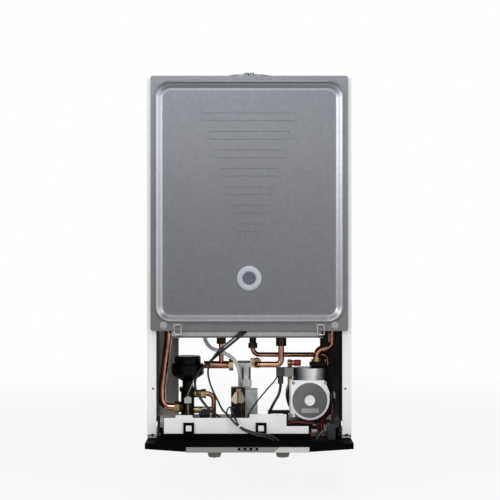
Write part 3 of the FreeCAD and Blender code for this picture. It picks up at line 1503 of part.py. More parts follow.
def bezel():
    """The black bezel: tapered plate, near lip, rim round the board cover, clips and hinge lugs."""
    near, rear = -s.panel_near, -s.panel_rear
    ends, deep = bezel_back - s.bezel_end, bezel_face
    points = [
        (-half_case, ends), (-s.insert_left, deep), (s.insert_right, deep), (half_case, ends),
        (half_case, bezel_back), (-half_case, bezel_back),
    ]
    plate = padded("bezel_plate", "XZ_Plane", points, rear - near)
    put(plate, 0, rear, 0)
    lip_half = half_case - s.flange_width - s.panel_gap
    lip = block((-lip_half, lip_half), (near, near + s.lip_thick), (bezel_back, bezel_back + s.lip_rise))
    gap, thick = s.rim_fit, s.rim_thick
    rim_x = (-s.board_left - gap - thick, s.board_right + gap + thick)
    rim_y = (-s.board_front - gap - thick, -s.board_back + gap + thick)
    rim = block(rim_x, rim_y, (bezel_back - 1, bezel_back + s.rim_height))
    clips, windows = [], []
    for middle in (-s.clip_left, s.clip_right):
        across = (middle - s.clip_width / 2, middle + s.clip_width / 2)
        arm_z = (bezel_back, bezel_back + s.rim_height + s.clip_height)
        clips.append(block(across, (rim_y[0], rim_y[0] + thick), arm_z))
        hole_x = (middle - s.stud / 2 - gap, middle + s.stud / 2 + gap)
        hole_z = (arm_z[1] - 5 - s.stud - 2 * gap, arm_z[1] - 5)
        windows.append(block(hole_x, (rim_y[0] - 1, rim_y[0] + thick + 1), hole_z))
    lugs, holes = [], []
    for side in (-1, 1):
        across = sided(side, s.lug_inner, s.lug_inner + s.lug_thick)
        lugs.append(rod("x", (pivot_y, pivot_z), across, s.lug_radius))
        lug_y = (pivot_y - s.lug_radius, pivot_y + s.lug_radius)
        lugs.append(block(across, lug_y, (bezel_back - 1, pivot_z)))
        hole_x = sided(side, s.lug_inner - 1, s.lug_inner + s.lug_thick + 1)
        holes.append(rod("x", (pivot_y, pivot_z), hole_x, s.pin_radius + s.shaft_fit))
    well_x, well_y = (-s.board_left - gap, s.board_right + gap), (-s.board_front - gap, -s.board_back + gap)
    well = block(well_x, well_y, (bezel_back, bezel_back + s.rim_height + 1))
    solid = cut(fuse(plate, lip, rim, *clips, *lugs), well, *windows, *holes)
    solid = cut(solid, *insert_seats(), *(button_hole(x) for x in button_places()))
    for x in (-s.knob_left, s.knob_right):
        solid = cut(solid, rod("z", (x, -s.knob_depth), (deep, bezel_back + 1), s.knob_shaft + 1))
    return node("bezel", solid)


def insert_seats():
    """The shallow seats in the bezel for the fascia insert's plate and its near strip."""
    x = (-s.insert_left, s.insert_right)
    plate_top = insert_low + s.insert_wall
    return [
        block(x, (-s.panel_near - 1, -s.insert_back), (bezel_face - 1, plate_top)),
        block(x, (-s.panel_near - 1, strip_back), (bezel_face - 1, bezel_face + s.insert_thick)),
    ]


def fascia_insert():
    """The pale fascia insert: a plate with a strip up its near edge, the button window and shaft holes."""
    x = (-s.insert_left, s.insert_right)
    near = -s.panel_near - s.insert_proud
    plate = block(x, (near, -s.insert_back), (insert_low, insert_low + s.insert_wall))
    strip = block(x, (near, strip_back), (insert_low, bezel_face + s.insert_thick))
    holes = [block((-s.window_left, s.window_right), (near - 1, strip_back + 1), window_limits())]
    for knob_x in (-s.knob_left, s.knob_right):
        span = (insert_low - 1, insert_low + s.insert_wall + 1)
        holes.append(rod("z", (knob_x, -s.knob_depth), span, s.knob_shaft + s.shaft_fit))
    return node("fascia_insert", cut(fuse(plate, strip), *holes))


def button_hole(x):
    """The guide in the bezel for a button, deep enough for its travel."""
    z = window_limits()
    middle = (z[0] + z[1]) / 2
    wide, high = s.button_width / 2 + s.button_fit, s.button_height / 2 + s.button_fit
    depth = (strip_back - 1, strip_back + s.button_depth)
    return block((x - wide, x + wide), depth, (middle - high, middle + high))


def window_limits():
    """The button window's lower and upper edge."""
    low = insert_low + s.insert_wall + 0.5
    return low, low + s.window_height


def button_places():
    """The buttons' places across the window."""
    middle = (s.window_right - s.window_left) / 2
    return [middle - s.button_pitch, middle, middle + s.button_pitch]


def button(label, x):
    """A push button that stands out of the window panel, with room behind it for its travel."""
    z = window_limits()
    middle = (z[0] + z[1]) / 2
    depth = (-s.panel_near - s.insert_proud, strip_back + s.button_depth - s.button_travel - s.button_fit)
    across = (x - s.button_width / 2, x + s.button_width / 2)
    return node(label, block(across, depth, (middle - s.button_height / 2, middle + s.button_height / 2)))


def knob(label, x):
    """A ribbed control knob with a pointer and its shaft."""
    top = s.knob_height
    body = turned(f"{label}_body", [
        (0, 0), (s.knob_radius, 0), (s.knob_radius, -top * 0.3), (s.knob_radius * 0.96, -top * 0.85),
        (s.knob_radius * 0.88, -top), (0, -top),
    ])
    low = insert_low - 0.6
    put(body, x, -s.knob_depth, low)
    parts = [body, rod("z", (x, -s.knob_depth), (low - 1, bezel_back - 1), s.knob_shaft)]
    for i in range(16):
        turn = math.radians(22.5 * i)
        y = s.knob_radius * 0.97 * math.sin(turn) - s.knob_depth
        centre = (x + s.knob_radius * 0.97 * math.cos(turn), y)
        parts.append(rod("z", centre, (low - top * 0.6, low), s.knob_rib))
    bar_y = (-s.knob_depth - s.knob_radius * 0.7, -s.knob_depth)
    parts.append(block((x - 1, x + 1), bar_y, (low - top - 1, low - top + 1)))
    return node(label, fuse(*parts))


def leaning(label, x, y, z):
    """A block whose top falls towards its back."""
    points = [(y[0], z[0]), (y[1], z[0]), (y[1], z[1] - s.board_fall), (y[0], z[1])]
    return put(padded(label, "YZ_Plane", points, x[1] - x[0]), x[0], 0, 0)


def board_cover_parts(label, grow, low):
    """The blocks that make up the board cover, shrunk by its wall for the hollow."""
    x0, x1 = -s.board_left + grow, s.board_right - grow
    y = (-s.board_front + grow, -s.board_back - grow)
    high = board_top + s.raise_height - grow
    bump_x = (-s.bump_left + grow, -s.bump_right - grow)
    return [
        leaning(f"{label}_main", (x0, s.step_x - grow), y, (low, board_top - grow)),
        leaning(f"{label}_raise", (s.raise_x + grow, s.step_x - grow), y, (low, high)),
        leaning(f"{label}_step", (x0, x1), y, (low, board_top - s.step_drop - grow)),
        leaning(f"{label}_bump", bump_x, (y[0] + 6, y[1] - 20), (low, high - s.bump_drop)),
    ]


def board_cover():
    """The white cover over the control board, with the studs that the bezel's clips catch."""
    outer = board_cover_parts("cover_outer", 0, bezel_back)
    for middle in (-s.clip_left, s.clip_right):
        across = (middle - s.stud / 2, middle + s.stud / 2)
        top = bezel_back + s.rim_height + s.clip_height - 5 - s.rim_fit
        outer.append(block(across, (-s.board_front - s.rim_thick, 1 - s.board_front), (top - s.stud, top)))
    hollow = fuse(*board_cover_parts("cover_hollow", s.board_wall, bezel_back - 1))
    return node("board_cover", cut(fuse(*outer), hollow))


def control_board():
    """The printed board under the cover, on posts, with its tall components."""
    wall = s.board_wall
    level = bezel_back + 8
    x = (wall + 3 - s.board_left, s.board_right - wall - 3)
    y = (wall + 3 - s.board_front, -s.board_back - wall - 3)
    solids = [block(x, y, (level, level + 1.6))]
    for px in (x[0] + 6, x[1] - 6):
        solids.append(rod("z", (px, (y[0] + y[1]) / 2), (bezel_back, level), 3))
    parts = []
    for i, (width, tall) in enumerate(((26, 20), (34, 22), (20, 14), (30, 20), (24, 16))):
        left = x[0] + 12 + s.component_pitch * i
        parts.append(block((left, left + width), (y[0] + 8, y[1] - 10), (level + 1.6, level + 1.6 + tall)))
    return node("control_board", group(fuse(*solids), *parts))


def hinge_brackets():
    """Two brackets on the side panels, each with the fixed pin that a bezel lug turns on."""
    brackets = []
    for side in (-1, 1):
        across = sided(side, s.hinge_inner, s.hinge_inner + s.hinge_sheet)
        top = pivot_z + s.hinge_rise
        boss = rod("x", (pivot_y, pivot_z), across, s.hinge_radius)
        leaf = block(across, (pivot_y - s.hinge_front, pivot_y + s.hinge_back), (pivot_z, top))
        arm_x = sided(side, s.hinge_inner, inner_wall)
        arm = block(arm_x, (pivot_y - s.hinge_front, pivot_y + s.hinge_back), (top - s.hinge_sheet, top))
        pin = rod("x", (pivot_y, pivot_z), sided(side, s.lug_inner, s.hinge_inner + 1), s.pin_radius)
        brackets.append(fuse(boss, leaf, arm, pin))
    return node("hinge_brackets", group(*brackets))


def wiring_box():
    """The grey terminal block at the right end of the lowered panel."""
    y = (pivot_y - 22, pivot_y + 12)
    return node("wiring_box", block(wiring_x, y, (bezel_back, bezel_back + s.wiring_height)))


# Wiring and hose


def cord(label, radius, points, bore=0):
    """A loose cord along a route of straight runs and arcs."""
    return shaped(label, tube_shape(points, radius, bore))


def drawn(x, front, below):
    """A point of a route from the middle, the wall and the chamber floor, moved with the case's sizes."""
    return (x * s.spread, -front * s.deepen, chamber_floor - below * s.stretch)


def wiring():
    """The grey hose and the leads that run to the lowered panel."""
    clamp_front = -s.valve_front - 5
    exit_y = -s.pan_front - s.exit_gap
    rear_wall = -s.board_back
    box_middle = (wiring_x[0] + wiring_x[1]) / 2
    relief_x = s.pump_x - s.terminal_width / 2 - 26
    relief_low = s.motor_square / 2 + s.terminal_height * 0.55 - s.pump_level - 24
    cord("air_hose", s.hose_radius, [
        (-s.hose_x, -s.hose_depth, pan_bottom + 16), (-s.hose_x, -s.hose_depth, pan_bottom - 22),
        drawn(-47, 230, 49.5), drawn(-24, 231, 69), drawn(-18, 229, 99),
        (-17 * s.spread, clamp_front - 2.3, chamber_floor - 116 * s.stretch),
    ], s.hose_bore)
    cord("main_lead", s.lead_thick, [
        (-6 * s.spread, exit_y, chamber_floor - 2.2),
        (-40 * s.spread, exit_y, chamber_floor - 30 * s.stretch),
        drawn(-62, 274, 49), drawn(-82.5, 246, 69),
        drawn(-106, 240, 90), drawn(-111, 239, 119), drawn(-95, 244, 145), drawn(-76, 248, 166),
        drawn(-51, 246, 181.5), (-43 * s.spread, rear_wall + 1.5, chamber_floor - 184 * s.stretch),
    ])
    cord("branch_lead", s.lead_thin, [
        (-13.5 * s.spread, exit_y, chamber_floor - 1.6),
        (-44 * s.spread, exit_y, chamber_floor - 26 * s.stretch),
        drawn(-68, 277, 48), drawn(-85, 258, 80), drawn(-77, 254, 115), drawn(-62, 262, 143),
        drawn(-52, 294, 158), drawn(-42, 328, 159.5),
        drawn(-24, 341, 181), drawn(12, 339, 195), drawn(44, 338, 198),
        (58 * s.spread, -338 * s.deepen, bezel_back + 1.4),
    ])
    cord("pump_lead", s.lead_mid, [
        (relief_x, 22 - s.pump_front, relief_low), (relief_x, 22 - s.pump_front, relief_low - 18),
        drawn(46, 212, 159), drawn(38, 234, 178),
        (35 * s.spread, rear_wall + 0.9, chamber_floor - 185 * s.stretch),
    ])
    cord("relay_lead", s.lead_thin, [
        (168 * s.spread, plane - 4, chamber_floor - 118 * s.stretch),
        (168 * s.spread, plane - 22, chamber_floor - 118 * s.stretch),
        drawn(170, 216, 145), drawn(168, 250, 163), drawn(163, 280, 167),
        (box_middle, pivot_y - 3, bezel_back + s.wiring_height + 1.3),
    ])


def build():
    """Builds every sub-part."""
    side_panel(-1, "left_side_panel")
    side_panel(1, "right_side_panel")
    rear_frame()
    chamber_shell()
    chamber_bottom()
    grommets()
    chamber_cover()
    cover_seal()
    sight_glass()
    node("cover_fastenings", group(*cover_screws(), *latch_plates()))
    latch_bail(-1, "left_latch_bail")
    latch_bail(1, "right_latch_bail")
    flue_collar()
    expansion_vessel()
    combustion_box()
    heat_exchanger()
    burner()
    flue_hood()
    fan_scroll()
    fan_wheel()
    fan_motor()
    pressure_switch()
    connection_tails()
    diverter()
    flow_column()
    tap_knob()
    water_pipes()
    gas_valve()
    gas_valve_parts()
    pump_group()
    pump_motor()
    pump_label()
    pump_rotor()
    terminal_box()
    pump_plug()
    relief_valve()
    bezel()
    fascia_insert()
    for label, x in zip(("left_button", "middle_button", "right_button"), button_places()):
        button(label, x)
    knob("heating_knob", -s.knob_left)
    knob("hot_water_knob", s.knob_right)
    board_cover()
    control_board()
    hinge_brackets()
    wiring_box()
    wiring()


build()
doc.recompute()
os.makedirs("parts", exist_ok=True)
for item in doc.Objects:
    if "Invalid" in item.State or "Error" in item.State:
        raise RuntimeError(f"{item.Label} failed: {item.State}")
for item in NODES:
    if item.Shape.isNull() or not item.Shape.isValid():
        raise RuntimeError(f"{item.Label} has no valid shape")
    item.Shape.exportStep(f"parts/{item.Label}.step")
print(len(NODES), "sub-parts")
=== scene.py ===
"""Looks of the wall-hung boiler around its CAD model: camera, light, materials, cords and small fittings."""
import math

import bmesh
import bpy
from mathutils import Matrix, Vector


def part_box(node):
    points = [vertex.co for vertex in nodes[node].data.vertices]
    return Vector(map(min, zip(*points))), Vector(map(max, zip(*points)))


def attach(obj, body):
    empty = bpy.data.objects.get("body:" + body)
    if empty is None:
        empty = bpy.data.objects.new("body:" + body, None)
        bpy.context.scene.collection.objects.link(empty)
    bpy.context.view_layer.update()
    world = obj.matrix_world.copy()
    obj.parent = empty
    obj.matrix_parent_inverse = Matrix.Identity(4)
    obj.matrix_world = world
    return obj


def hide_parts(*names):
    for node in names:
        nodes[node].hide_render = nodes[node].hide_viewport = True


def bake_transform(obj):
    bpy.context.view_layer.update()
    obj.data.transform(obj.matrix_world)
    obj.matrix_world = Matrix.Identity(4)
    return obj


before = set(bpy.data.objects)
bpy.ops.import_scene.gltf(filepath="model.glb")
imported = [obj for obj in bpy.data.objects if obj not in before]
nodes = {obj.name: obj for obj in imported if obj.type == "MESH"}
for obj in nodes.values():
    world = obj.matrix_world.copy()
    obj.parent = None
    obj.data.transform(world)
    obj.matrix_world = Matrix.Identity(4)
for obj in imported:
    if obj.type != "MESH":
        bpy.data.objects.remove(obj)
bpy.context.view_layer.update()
scene = bpy.context.scene


# Camera and light

CAMERA_PLACE = (0.0014, -2.600, -0.3094)
FOCAL_PIXELS = 1176
FRAME_PIXELS = 500
SENSOR = 36
MIDDLE = Vector((0, -0.2, -0.33))
WORLD_STRENGTH = 0.26
FLOOR_LEVEL = -0.80
FLOOR_HALF = 4
FLOOR_COLOUR = (0.9, 0.9, 0.9, 1)
# How far from the boiler the floor's glow starts to rise and ends, in metres, and its strength at both
GLOW_REACH = (0.8, 2.2)
GLOW_STRENGTH = (0.86, 1.0)


def add_camera():
    """A level camera straight in front of the boiler."""
    data = bpy.data.cameras.new("camera")
    data.sensor_width = SENSOR
    data.lens = FOCAL_PIXELS * SENSOR / FRAME_PIXELS
    camera = bpy.data.objects.new("camera", data)
    camera.location = CAMERA_PLACE
    camera.rotation_euler = (math.pi / 2, 0, 0)
    scene.collection.objects.link(camera)
    scene.camera = camera


def add_lamp(name, place, size, power):
    """A soft square lamp aimed at the boiler's middle."""
    data = bpy.data.lights.new(name, "AREA")
    data.shape = "SQUARE"
    data.size = size
    data.energy = power
    lamp = bpy.data.objects.new(name, data)
    lamp.location = place
    aim = MIDDLE - Vector(place)
    lamp.rotation_euler = aim.to_track_quat("-Z", "Y").to_euler()
    scene.collection.objects.link(lamp)


def backdrop_share(tree):
    """1 for rays that should see the white backdrop: from the camera, or by gloss or glass."""
    path = tree.nodes.new("ShaderNodeLightPath")
    glossy = tree.nodes.new("ShaderNodeMath")
    glossy.operation = "MAXIMUM"
    tree.links.new(path.outputs["Is Camera Ray"], glossy.inputs[0])
    tree.links.new(path.outputs["Is Glossy Ray"], glossy.inputs[1])
    share = tree.nodes.new("ShaderNodeMath")
    share.operation = "MAXIMUM"
    tree.links.new(glossy.outputs[0], share.inputs[0])
    tree.links.new(path.outputs["Is Transmission Ray"], share.inputs[1])
    return share.outputs[0]


def add_world():
    """A soft pale world that looks white to the camera and in reflections."""
    world = bpy.data.worlds.new("studio")
    world.use_nodes = True
    tree = world.node_tree
    light = tree.nodes["Background"]
    light.inputs["Color"].default_value = (1, 1, 1, 1)
    light.inputs["Strength"].default_value = WORLD_STRENGTH
    white = tree.nodes.new("ShaderNodeBackground")
    white.inputs["Color"].default_value = (1, 1, 1, 1)
    white.inputs["Strength"].default_value = 1
    mix = tree.nodes.new("ShaderNodeMixShader")
    tree.links.new(backdrop_share(tree), mix.inputs["Fac"])
    tree.links.new(light.outputs[0], mix.inputs[1])
    tree.links.new(white.outputs[0], mix.inputs[2])
    tree.links.new(mix.outputs[0], tree.nodes["World Output"].inputs["Surface"])
    scene.world = world


def floor_glow(tree):
    """How white the floor looks: a little less near the boiler, so its shadow shows, and white far away."""
    place = tree.nodes.new("ShaderNodeTexCoord")
    distance = tree.nodes.new("ShaderNodeVectorMath")
    distance.operation = "LENGTH"
    tree.links.new(place.outputs["Object"], distance.inputs[0])
    share = tree.nodes.new("ShaderNodeMapRange")
    for name, value in zip(("From Min", "From Max", "To Min", "To Max"), GLOW_REACH + GLOW_STRENGTH):
        share.inputs[name].default_value = value
    tree.links.new(distance.outputs["Value"], share.inputs["Value"])
    seen = tree.nodes.new("ShaderNodeMath")
    seen.operation = "MULTIPLY"
    tree.links.new(backdrop_share(tree), seen.inputs[0])
    tree.links.new(share.outputs[0], seen.inputs[1])
    return seen.outputs[0]


def add_floor():
    """A pale floor under the boiler that looks nearly white and keeps a soft shadow."""
    mesh = bpy.data.meshes.new("floor")
    half = FLOOR_HALF
    corners = [(-half, -half, 0), (half, -half, 0), (half, half, 0), (-half, half, 0)]
    mesh.from_pydata(corners, [], [(0, 1, 2, 3)])
    floor = bpy.data.objects.new("floor", mesh)
    floor.location = (0, 0, FLOOR_LEVEL)
    scene.collection.objects.link(floor)
    pale = bpy.data.materials.new("floor")
    pale.use_nodes = True
    tree = pale.node_tree
    tree.nodes.clear()
    diffuse = tree.nodes.new("ShaderNodeBsdfDiffuse")
    diffuse.inputs["Color"].default_value = FLOOR_COLOUR
    glow = tree.nodes.new("ShaderNodeEmission")
    glow.inputs["Strength"].default_value = 1
    mix = tree.nodes.new("ShaderNodeMixShader")
    tree.links.new(floor_glow(tree), mix.inputs["Fac"])
    tree.links.new(diffuse.outputs[0], mix.inputs[1])
    tree.links.new(glow.outputs[0], mix.inputs[2])
    out = tree.nodes.new("ShaderNodeOutputMaterial")
    tree.links.new(mix.outputs[0], out.inputs["Surface"])
    mesh.materials.append(pale)


add_camera()
add_world()
add_floor()
add_lamp("key", (-0.3, -3.0, 1.25), 1.3, 30)
add_lamp("right", (1.7, -2.0, 0.42), 0.7, 9)
add_lamp("left", (-1.7, -2.0, 0.42), 0.7, 13)
add_lamp("low", (1.6, -2.3, -0.45), 0.7, 3)
add_lamp("top", (0.1, -0.8, 1.5), 0.8, 15)
scene.view_settings.view_transform = "Standard"


# Materials


class Paint:
    """A node material in the making: one principled shader and helpers to feed it."""

    def __init__(self, name, metal=0.0):
        self.material = bpy.data.materials.new(name)
        self.material.use_nodes = True
        self.tree = self.material.node_tree
        self.shader = self.tree.nodes["Principled BSDF"]
        self.shader.inputs["Metallic"].default_value = metal
        coordinates = self.tree.nodes.new("ShaderNodeTexCoord")
        self.place = coordinates.outputs["Object"]
        self.direction = coordinates.outputs["Normal"]

    def node(self, kind, **settings):
        item = self.tree.nodes.new(kind)
        for key, value in settings.items():
            setattr(item, key, value)
        return item

    def link(self, source, target):
        self.tree.links.new(source, target)

    def stretched(self, scale):
        """The object's coordinates stretched along each axis."""
        mapping = self.node("ShaderNodeMapping")
        mapping.inputs["Scale"].default_value = scale
        self.link(self.place, mapping.inputs["Vector"])
        return mapping.outputs[0]

    def noise(self, scale, detail, place=None):
        noise = self.node("ShaderNodeTexNoise")
        noise.inputs["Scale"].default_value = scale
        noise.inputs["Detail"].default_value = detail
        self.link(place or self.place, noise.inputs["Vector"])
        return noise.outputs["Fac"]

    def cells(self, scale):
        cells = self.node("ShaderNodeTexVoronoi")
        cells.inputs["Scale"].default_value = scale
        self.link(self.place, cells.inputs["Vector"])
        grey = self.node("ShaderNodeRGBToBW")
        self.link(cells.outputs["Color"], grey.inputs[0])
        return grey.outputs[0]

    def ramp(self, source, stops):
        """Colours along a value, from (position, (r, g, b)) stops."""
        ramp = self.node("ShaderNodeValToRGB")
        elements = ramp.color_ramp.elements
        while len(elements) < len(stops):
            elements.new(0.5)
        for element, (position, colour) in zip(elements, stops):
            element.position = position
            element.color = (*colour, 1)
        self.link(source, ramp.inputs[0])
        return ramp.outputs[0]

    def shades(self, source, dark, light):
        """A slow change from dark to light along a noise."""
        return self.ramp(source, [(0.3, dark), (0.7, light)])

    def span(self, source, low, high, start=0.0, end=1.0):
        """A value moved from one span to another, held at its ends."""
        span = self.node("ShaderNodeMapRange")
        for name, value in (("From Min", start), ("From Max", end), ("To Min", low), ("To Max", high)):
            span.inputs[name].default_value = value
        self.link(source, span.inputs["Value"])
        return span.outputs[0]

    def step(self, source, start, end):
        """0 up to the start, 1 from the end on."""
        return self.span(source, 0, 1, start, end)

    def blend(self, share, first, second, kind="MIX"):
        """Two colours mixed by a share, which may be a number."""
        mix = self.node("ShaderNodeMix", data_type="RGBA", blend_type=kind)
        if isinstance(share, (int, float)):
            mix.inputs["Factor"].default_value = share
        else:
            self.link(share, mix.inputs["Factor"])
        for socket, value in ((mix.inputs[6], first), (mix.inputs[7], second)):
            if isinstance(value, tuple):
                socket.default_value = (*value, 1)
            else:
                self.link(value, socket)
        return mix.outputs[2]

    def times(self, tone, factor):
        """A colour multiplied by another."""
        return self.blend(1.0, tone, factor, "MULTIPLY")

    def reckon(self, kind, *values):
        """One math operation on numbers or node outputs."""
        step = self.node("ShaderNodeMath", operation=kind)
        for socket, value in zip(step.inputs, values):
            if isinstance(value, (int, float)):
                socket.default_value = value
            else:
                self.link(value, socket)
        return step.outputs[0]

    def vector(self, kind, source, constant=(0, 0, 0)):
        """One vector operation on a node's output, with a constant for those that need one."""
        step = self.node("ShaderNodeVectorMath", operation=kind)
        step.inputs[1].default_value = constant
        self.link(source, step.inputs[0])
        return step.outputs["Value" if kind == "LENGTH" else "Vector"]

    def colour(self, source):
        self.link(source, self.shader.inputs["Base Color"])

    def rough(self, source):
        self.link(source, self.shader.inputs["Roughness"])

    def bump(self, source, strength, distance):
        bump = self.node("ShaderNodeBump")
        bump.inputs["Strength"].default_value = strength
        bump.inputs["Distance"].default_value = distance
        self.link(source, bump.inputs["Height"])
        self.link(bump.outputs[0], self.shader.inputs["Normal"])

    def place_along(self, axis):
        """One coordinate of the object, in metres."""
        split = self.node("ShaderNodeSeparateXYZ")
        self.link(self.place, split.inputs[0])
        return split.outputs[axis]

    def facing(self, axis):
        """One part of the surface's direction on the piece itself, so that it stays when the piece moves."""
        split = self.node("ShaderNodeSeparateXYZ")
        self.link(self.direction, split.inputs[0])
        return split.outputs[axis]


# The cover recess's upper edge: half its width and height, its middle's height and its corners, in metres
RECESS_HALF = (0.181, 0.23135)
RECESS_MIDDLE = -0.21655
RECESS_CORNER = 0.0284
# Shares of a face's direction between which it turns from flat to a slope
SLOPE = (0.2, 0.42)
SPANGLE = 190
DRAWN_STRETCH = (420, 420, 9)
SCREW_EDGE = 0.156
RIGHT_RAIL = (0.10, 0.12)
UNDER_CHAMBER = (-0.47, -0.45)
NUT_LEVEL = (-0.517, -0.5145)
# The colour of the painted shade in the gas valve's recesses
RECESS_SHADE = (0.02, 0.02, 0.022)


def grey(value):
    """A colour with no tint."""
    return (value, value, value)


def spangled(paint, dark, light, spangle=SPANGLE):
    """Zinc's fine spangle under faint upright drawing marks: the tone, and the marks."""
    marks = paint.noise(1.0, 3, paint.stretched(DRAWN_STRETCH))
    tone = paint.ramp(paint.cells(spangle), [(0.1, dark), (0.9, light)])
    return paint.blend(paint.span(marks, 0.0, 0.3, 0.35, 0.75), tone, dark), marks


def sheet_metal(name, dark, light, rough, spangle=SPANGLE):
    """Galvanised sheet: spangle, drawing marks and a few dull spots."""
    paint = Paint(name, metal=1.0)
    tone, marks = spangled(paint, dark, light, spangle)
    dull = paint.noise(6, 5)
    paint.colour(paint.blend(paint.span(dull, 0.0, 0.3, 0.5, 0.75), tone, dark))
    paint.rough(paint.span(marks, *rough))
    paint.bump(marks, 0.04, 0.0003)
    return paint.material


def pan_metal(name, dark, light):
    """The chamber floor's sheet: zinc, with painted shade at the drawn pan's upper and lower bends."""
    paint = Paint(name, metal=1.0)
    smear = paint.noise(25, 5)
    tone = paint.ramp(paint.cells(SPANGLE), [(0.1, dark), (0.9, light)])
    tone = paint.blend(paint.span(smear, 0.0, 0.25, 0.45, 0.75), tone, dark)
    low, high = -0.4825, -0.4665
    lit_share_at = (
        (-0.4820, 0.22), (-0.4795, 0.28), (-0.4782, 0.85), (-0.4760, 1.0),
        (-0.4725, 1.0), (-0.4705, 0.7), (-0.4690, 0.3), (-0.4668, 0.6),
    )
    stops = [((place - low) / (high - low), grey(share)) for place, share in lit_share_at]
    # Painted shade: darker under the cover's edge and along the lower bend, full tone between
    painted_band_shade = paint.ramp(paint.step(paint.place_along("Z"), low, high), stops)
    paint.colour(paint.times(tone, painted_band_shade))
    paint.rough(paint.span(smear, 0.38, 0.5))
    paint.bump(smear, 0.05, 0.0003)
    return paint.material


def recess_distance(paint):
    """How far a place on the cover lies outside its recess's upper edge, in metres."""
    straight = (RECESS_HALF[0] - RECESS_CORNER, 0, RECESS_HALF[1] - RECESS_CORNER)
    shifted = paint.vector("SUBTRACT", paint.place, (0, 0, RECESS_MIDDLE))
    flat = paint.vector("MULTIPLY", shifted, (1, 0, 1))
    beyond = paint.vector("SUBTRACT", paint.vector("ABSOLUTE", flat), straight)
    outside = paint.vector("MAXIMUM", beyond)
    return paint.reckon("SUBTRACT", paint.vector("LENGTH", outside), RECESS_CORNER)


def recess_painted_light(paint):
    """A factor on the cover's tone: a painted highlight over 1 on the recess's bends, and a painted shade
    under 1 just outside them.
    """
    reach = 0.02
    bright_at = (
        (-0.0135, 0.5), (-0.0115, 0.68), (-0.0095, 0.72), (-0.0060, 0.52), (-0.0015, 0.70),
        (0.0002, 0.68), (0.0016, 0.33), (0.0040, 0.40), (0.0100, 0.5),
    )
    stops = [(0.5 + 0.5 * place / reach, grey(bright)) for place, bright in bright_at]
    bend_light = paint.ramp(paint.step(recess_distance(paint), -reach, reach), stops)
    return paint.times(bend_light, grey(2))


def cover_metal(name, dark, light, rough):
    """The cover's sheet: spangle, painted highlight and shade around the recess's bends, painted highlight on
    side slopes and painted shade on upward ones, uneven overall.
    """
    paint = Paint(name, metal=1.0)
    tone, marks = spangled(paint, dark, light)
    # Painted highlight on the recess's bends and painted shade just outside them
    tone = paint.times(tone, recess_painted_light(paint))
    # Painted highlight on slopes that face sideways, painted shade on slopes that face up
    sideways = paint.reckon("ABSOLUTE", paint.facing("X"))
    tone = paint.blend(paint.step(sideways, *SLOPE), tone, paint.times(tone, grey(1.36)))
    tone = paint.blend(paint.step(paint.facing("Z"), *SLOPE), tone, paint.times(tone, grey(0.72)))
    # Painted light: the face lighter and bluer higher up, and brighter towards the right edge
    rising = paint.ramp(paint.step(paint.place_along("Z"), -0.45, -0.02), [
        (0.0, (1.0, 0.99, 0.97)), (0.45, (1.06, 1.06, 1.08)),
        (0.8, (1.12, 1.12, 1.15)), (1.0, (1.04, 1.05, 1.08)),
    ])
    across = paint.ramp(paint.step(paint.place_along("X"), -0.2, 0.2), [
        (0.0, grey(0.95)), (0.9, grey(1.03)), (1.0, grey(1.16)),
    ])
    paint.colour(paint.times(paint.times(tone, rising), across))
    paint.rough(paint.span(marks, *rough))
    paint.bump(marks, 0.04, 0.0003)
    return paint.material


def fastening_metal(name, dark, light):
    """Latches dull like the cover, screws near its corners brighter."""
    paint = Paint(name, metal=1.0)
    stain = paint.noise(160, 4)
    fine = paint.noise(800, 2)
    side = paint.reckon("ABSOLUTE", paint.place_along("X"))
    outer = paint.step(side, SCREW_EDGE, SCREW_EDGE + 0.001)
    bright = paint.shades(stain, grey(0.25), grey(0.36))
    paint.colour(paint.blend(outer, paint.shades(stain, dark, light), bright))
    paint.rough(paint.span(stain, 0.3, 0.45))
    paint.bump(fine, 0.06, 0.0004)
    return paint.material


def rail_metal(name):
    """The rear frame: pale zinc, with a dark and dull painted shade on the right rail's inner faces, under
    the chamber.
    """
    paint = Paint(name, metal=0.15)
    stain = paint.noise(12, 6)
    fine = paint.noise(500, 2)
    pale = paint.shades(stain, (0.78, 0.78, 0.75), (0.87, 0.87, 0.84))
    # Painted shade: a dark tone for the right rail's inner faces under the chamber
    dark = paint.shades(stain, (0.11, 0.072, 0.068), (0.24, 0.17, 0.16))
    below = paint.span(paint.place_along("Z"), 1, 0, *UNDER_CHAMBER)
    inner = paint.span(paint.facing("Y"), 1, 0, 0.4, 0.6)
    painted_rail_shade = paint.step(paint.place_along("X"), *RIGHT_RAIL)
    painted_rail_shade = paint.reckon("MULTIPLY", paint.reckon("MULTIPLY", painted_rail_shade, below), inner)
    paint.colour(paint.blend(painted_rail_shade, pale, dark))
    paint.rough(paint.span(stain, 0.5, 0.65))
    paint.bump(fine, 0.06, 0.0004)
    return paint.material


def plain_metal(name, stops, scale, rough, bump=0.08):
    """Turned, drawn or cast metal, with stains along a slow noise and a fine grain."""
    paint = Paint(name, metal=1.0)
    stain = paint.noise(scale, 6)
    fine = paint.noise(700, 2)
    paint.colour(paint.blend(paint.span(fine, 0, 0.18), paint.ramp(stain, stops), stops[0][1]))
    paint.rough(paint.span(stain, rough[1], rough[0], 0.3, 0.7))
    paint.bump(fine, bump, 0.0005)
    return paint.material


def moulded(name, dark, light, rough=(0.4, 0.55), grain=900, bump=0.1, scale=25, specular=0.5):
    """Moulded plastic or rubber: slight shade changes, handling marks and a fine grain."""
    paint = Paint(name)
    shade = paint.noise(scale, 5)
    fine = paint.noise(grain, 2)
    paint.colour(paint.shades(shade, dark, light))
    paint.rough(paint.span(shade, *rough, 0.3, 0.7))
    paint.bump(fine, bump, 0.0004)
    paint.shader.inputs["Specular IOR Level"].default_value = specular
    return paint.material


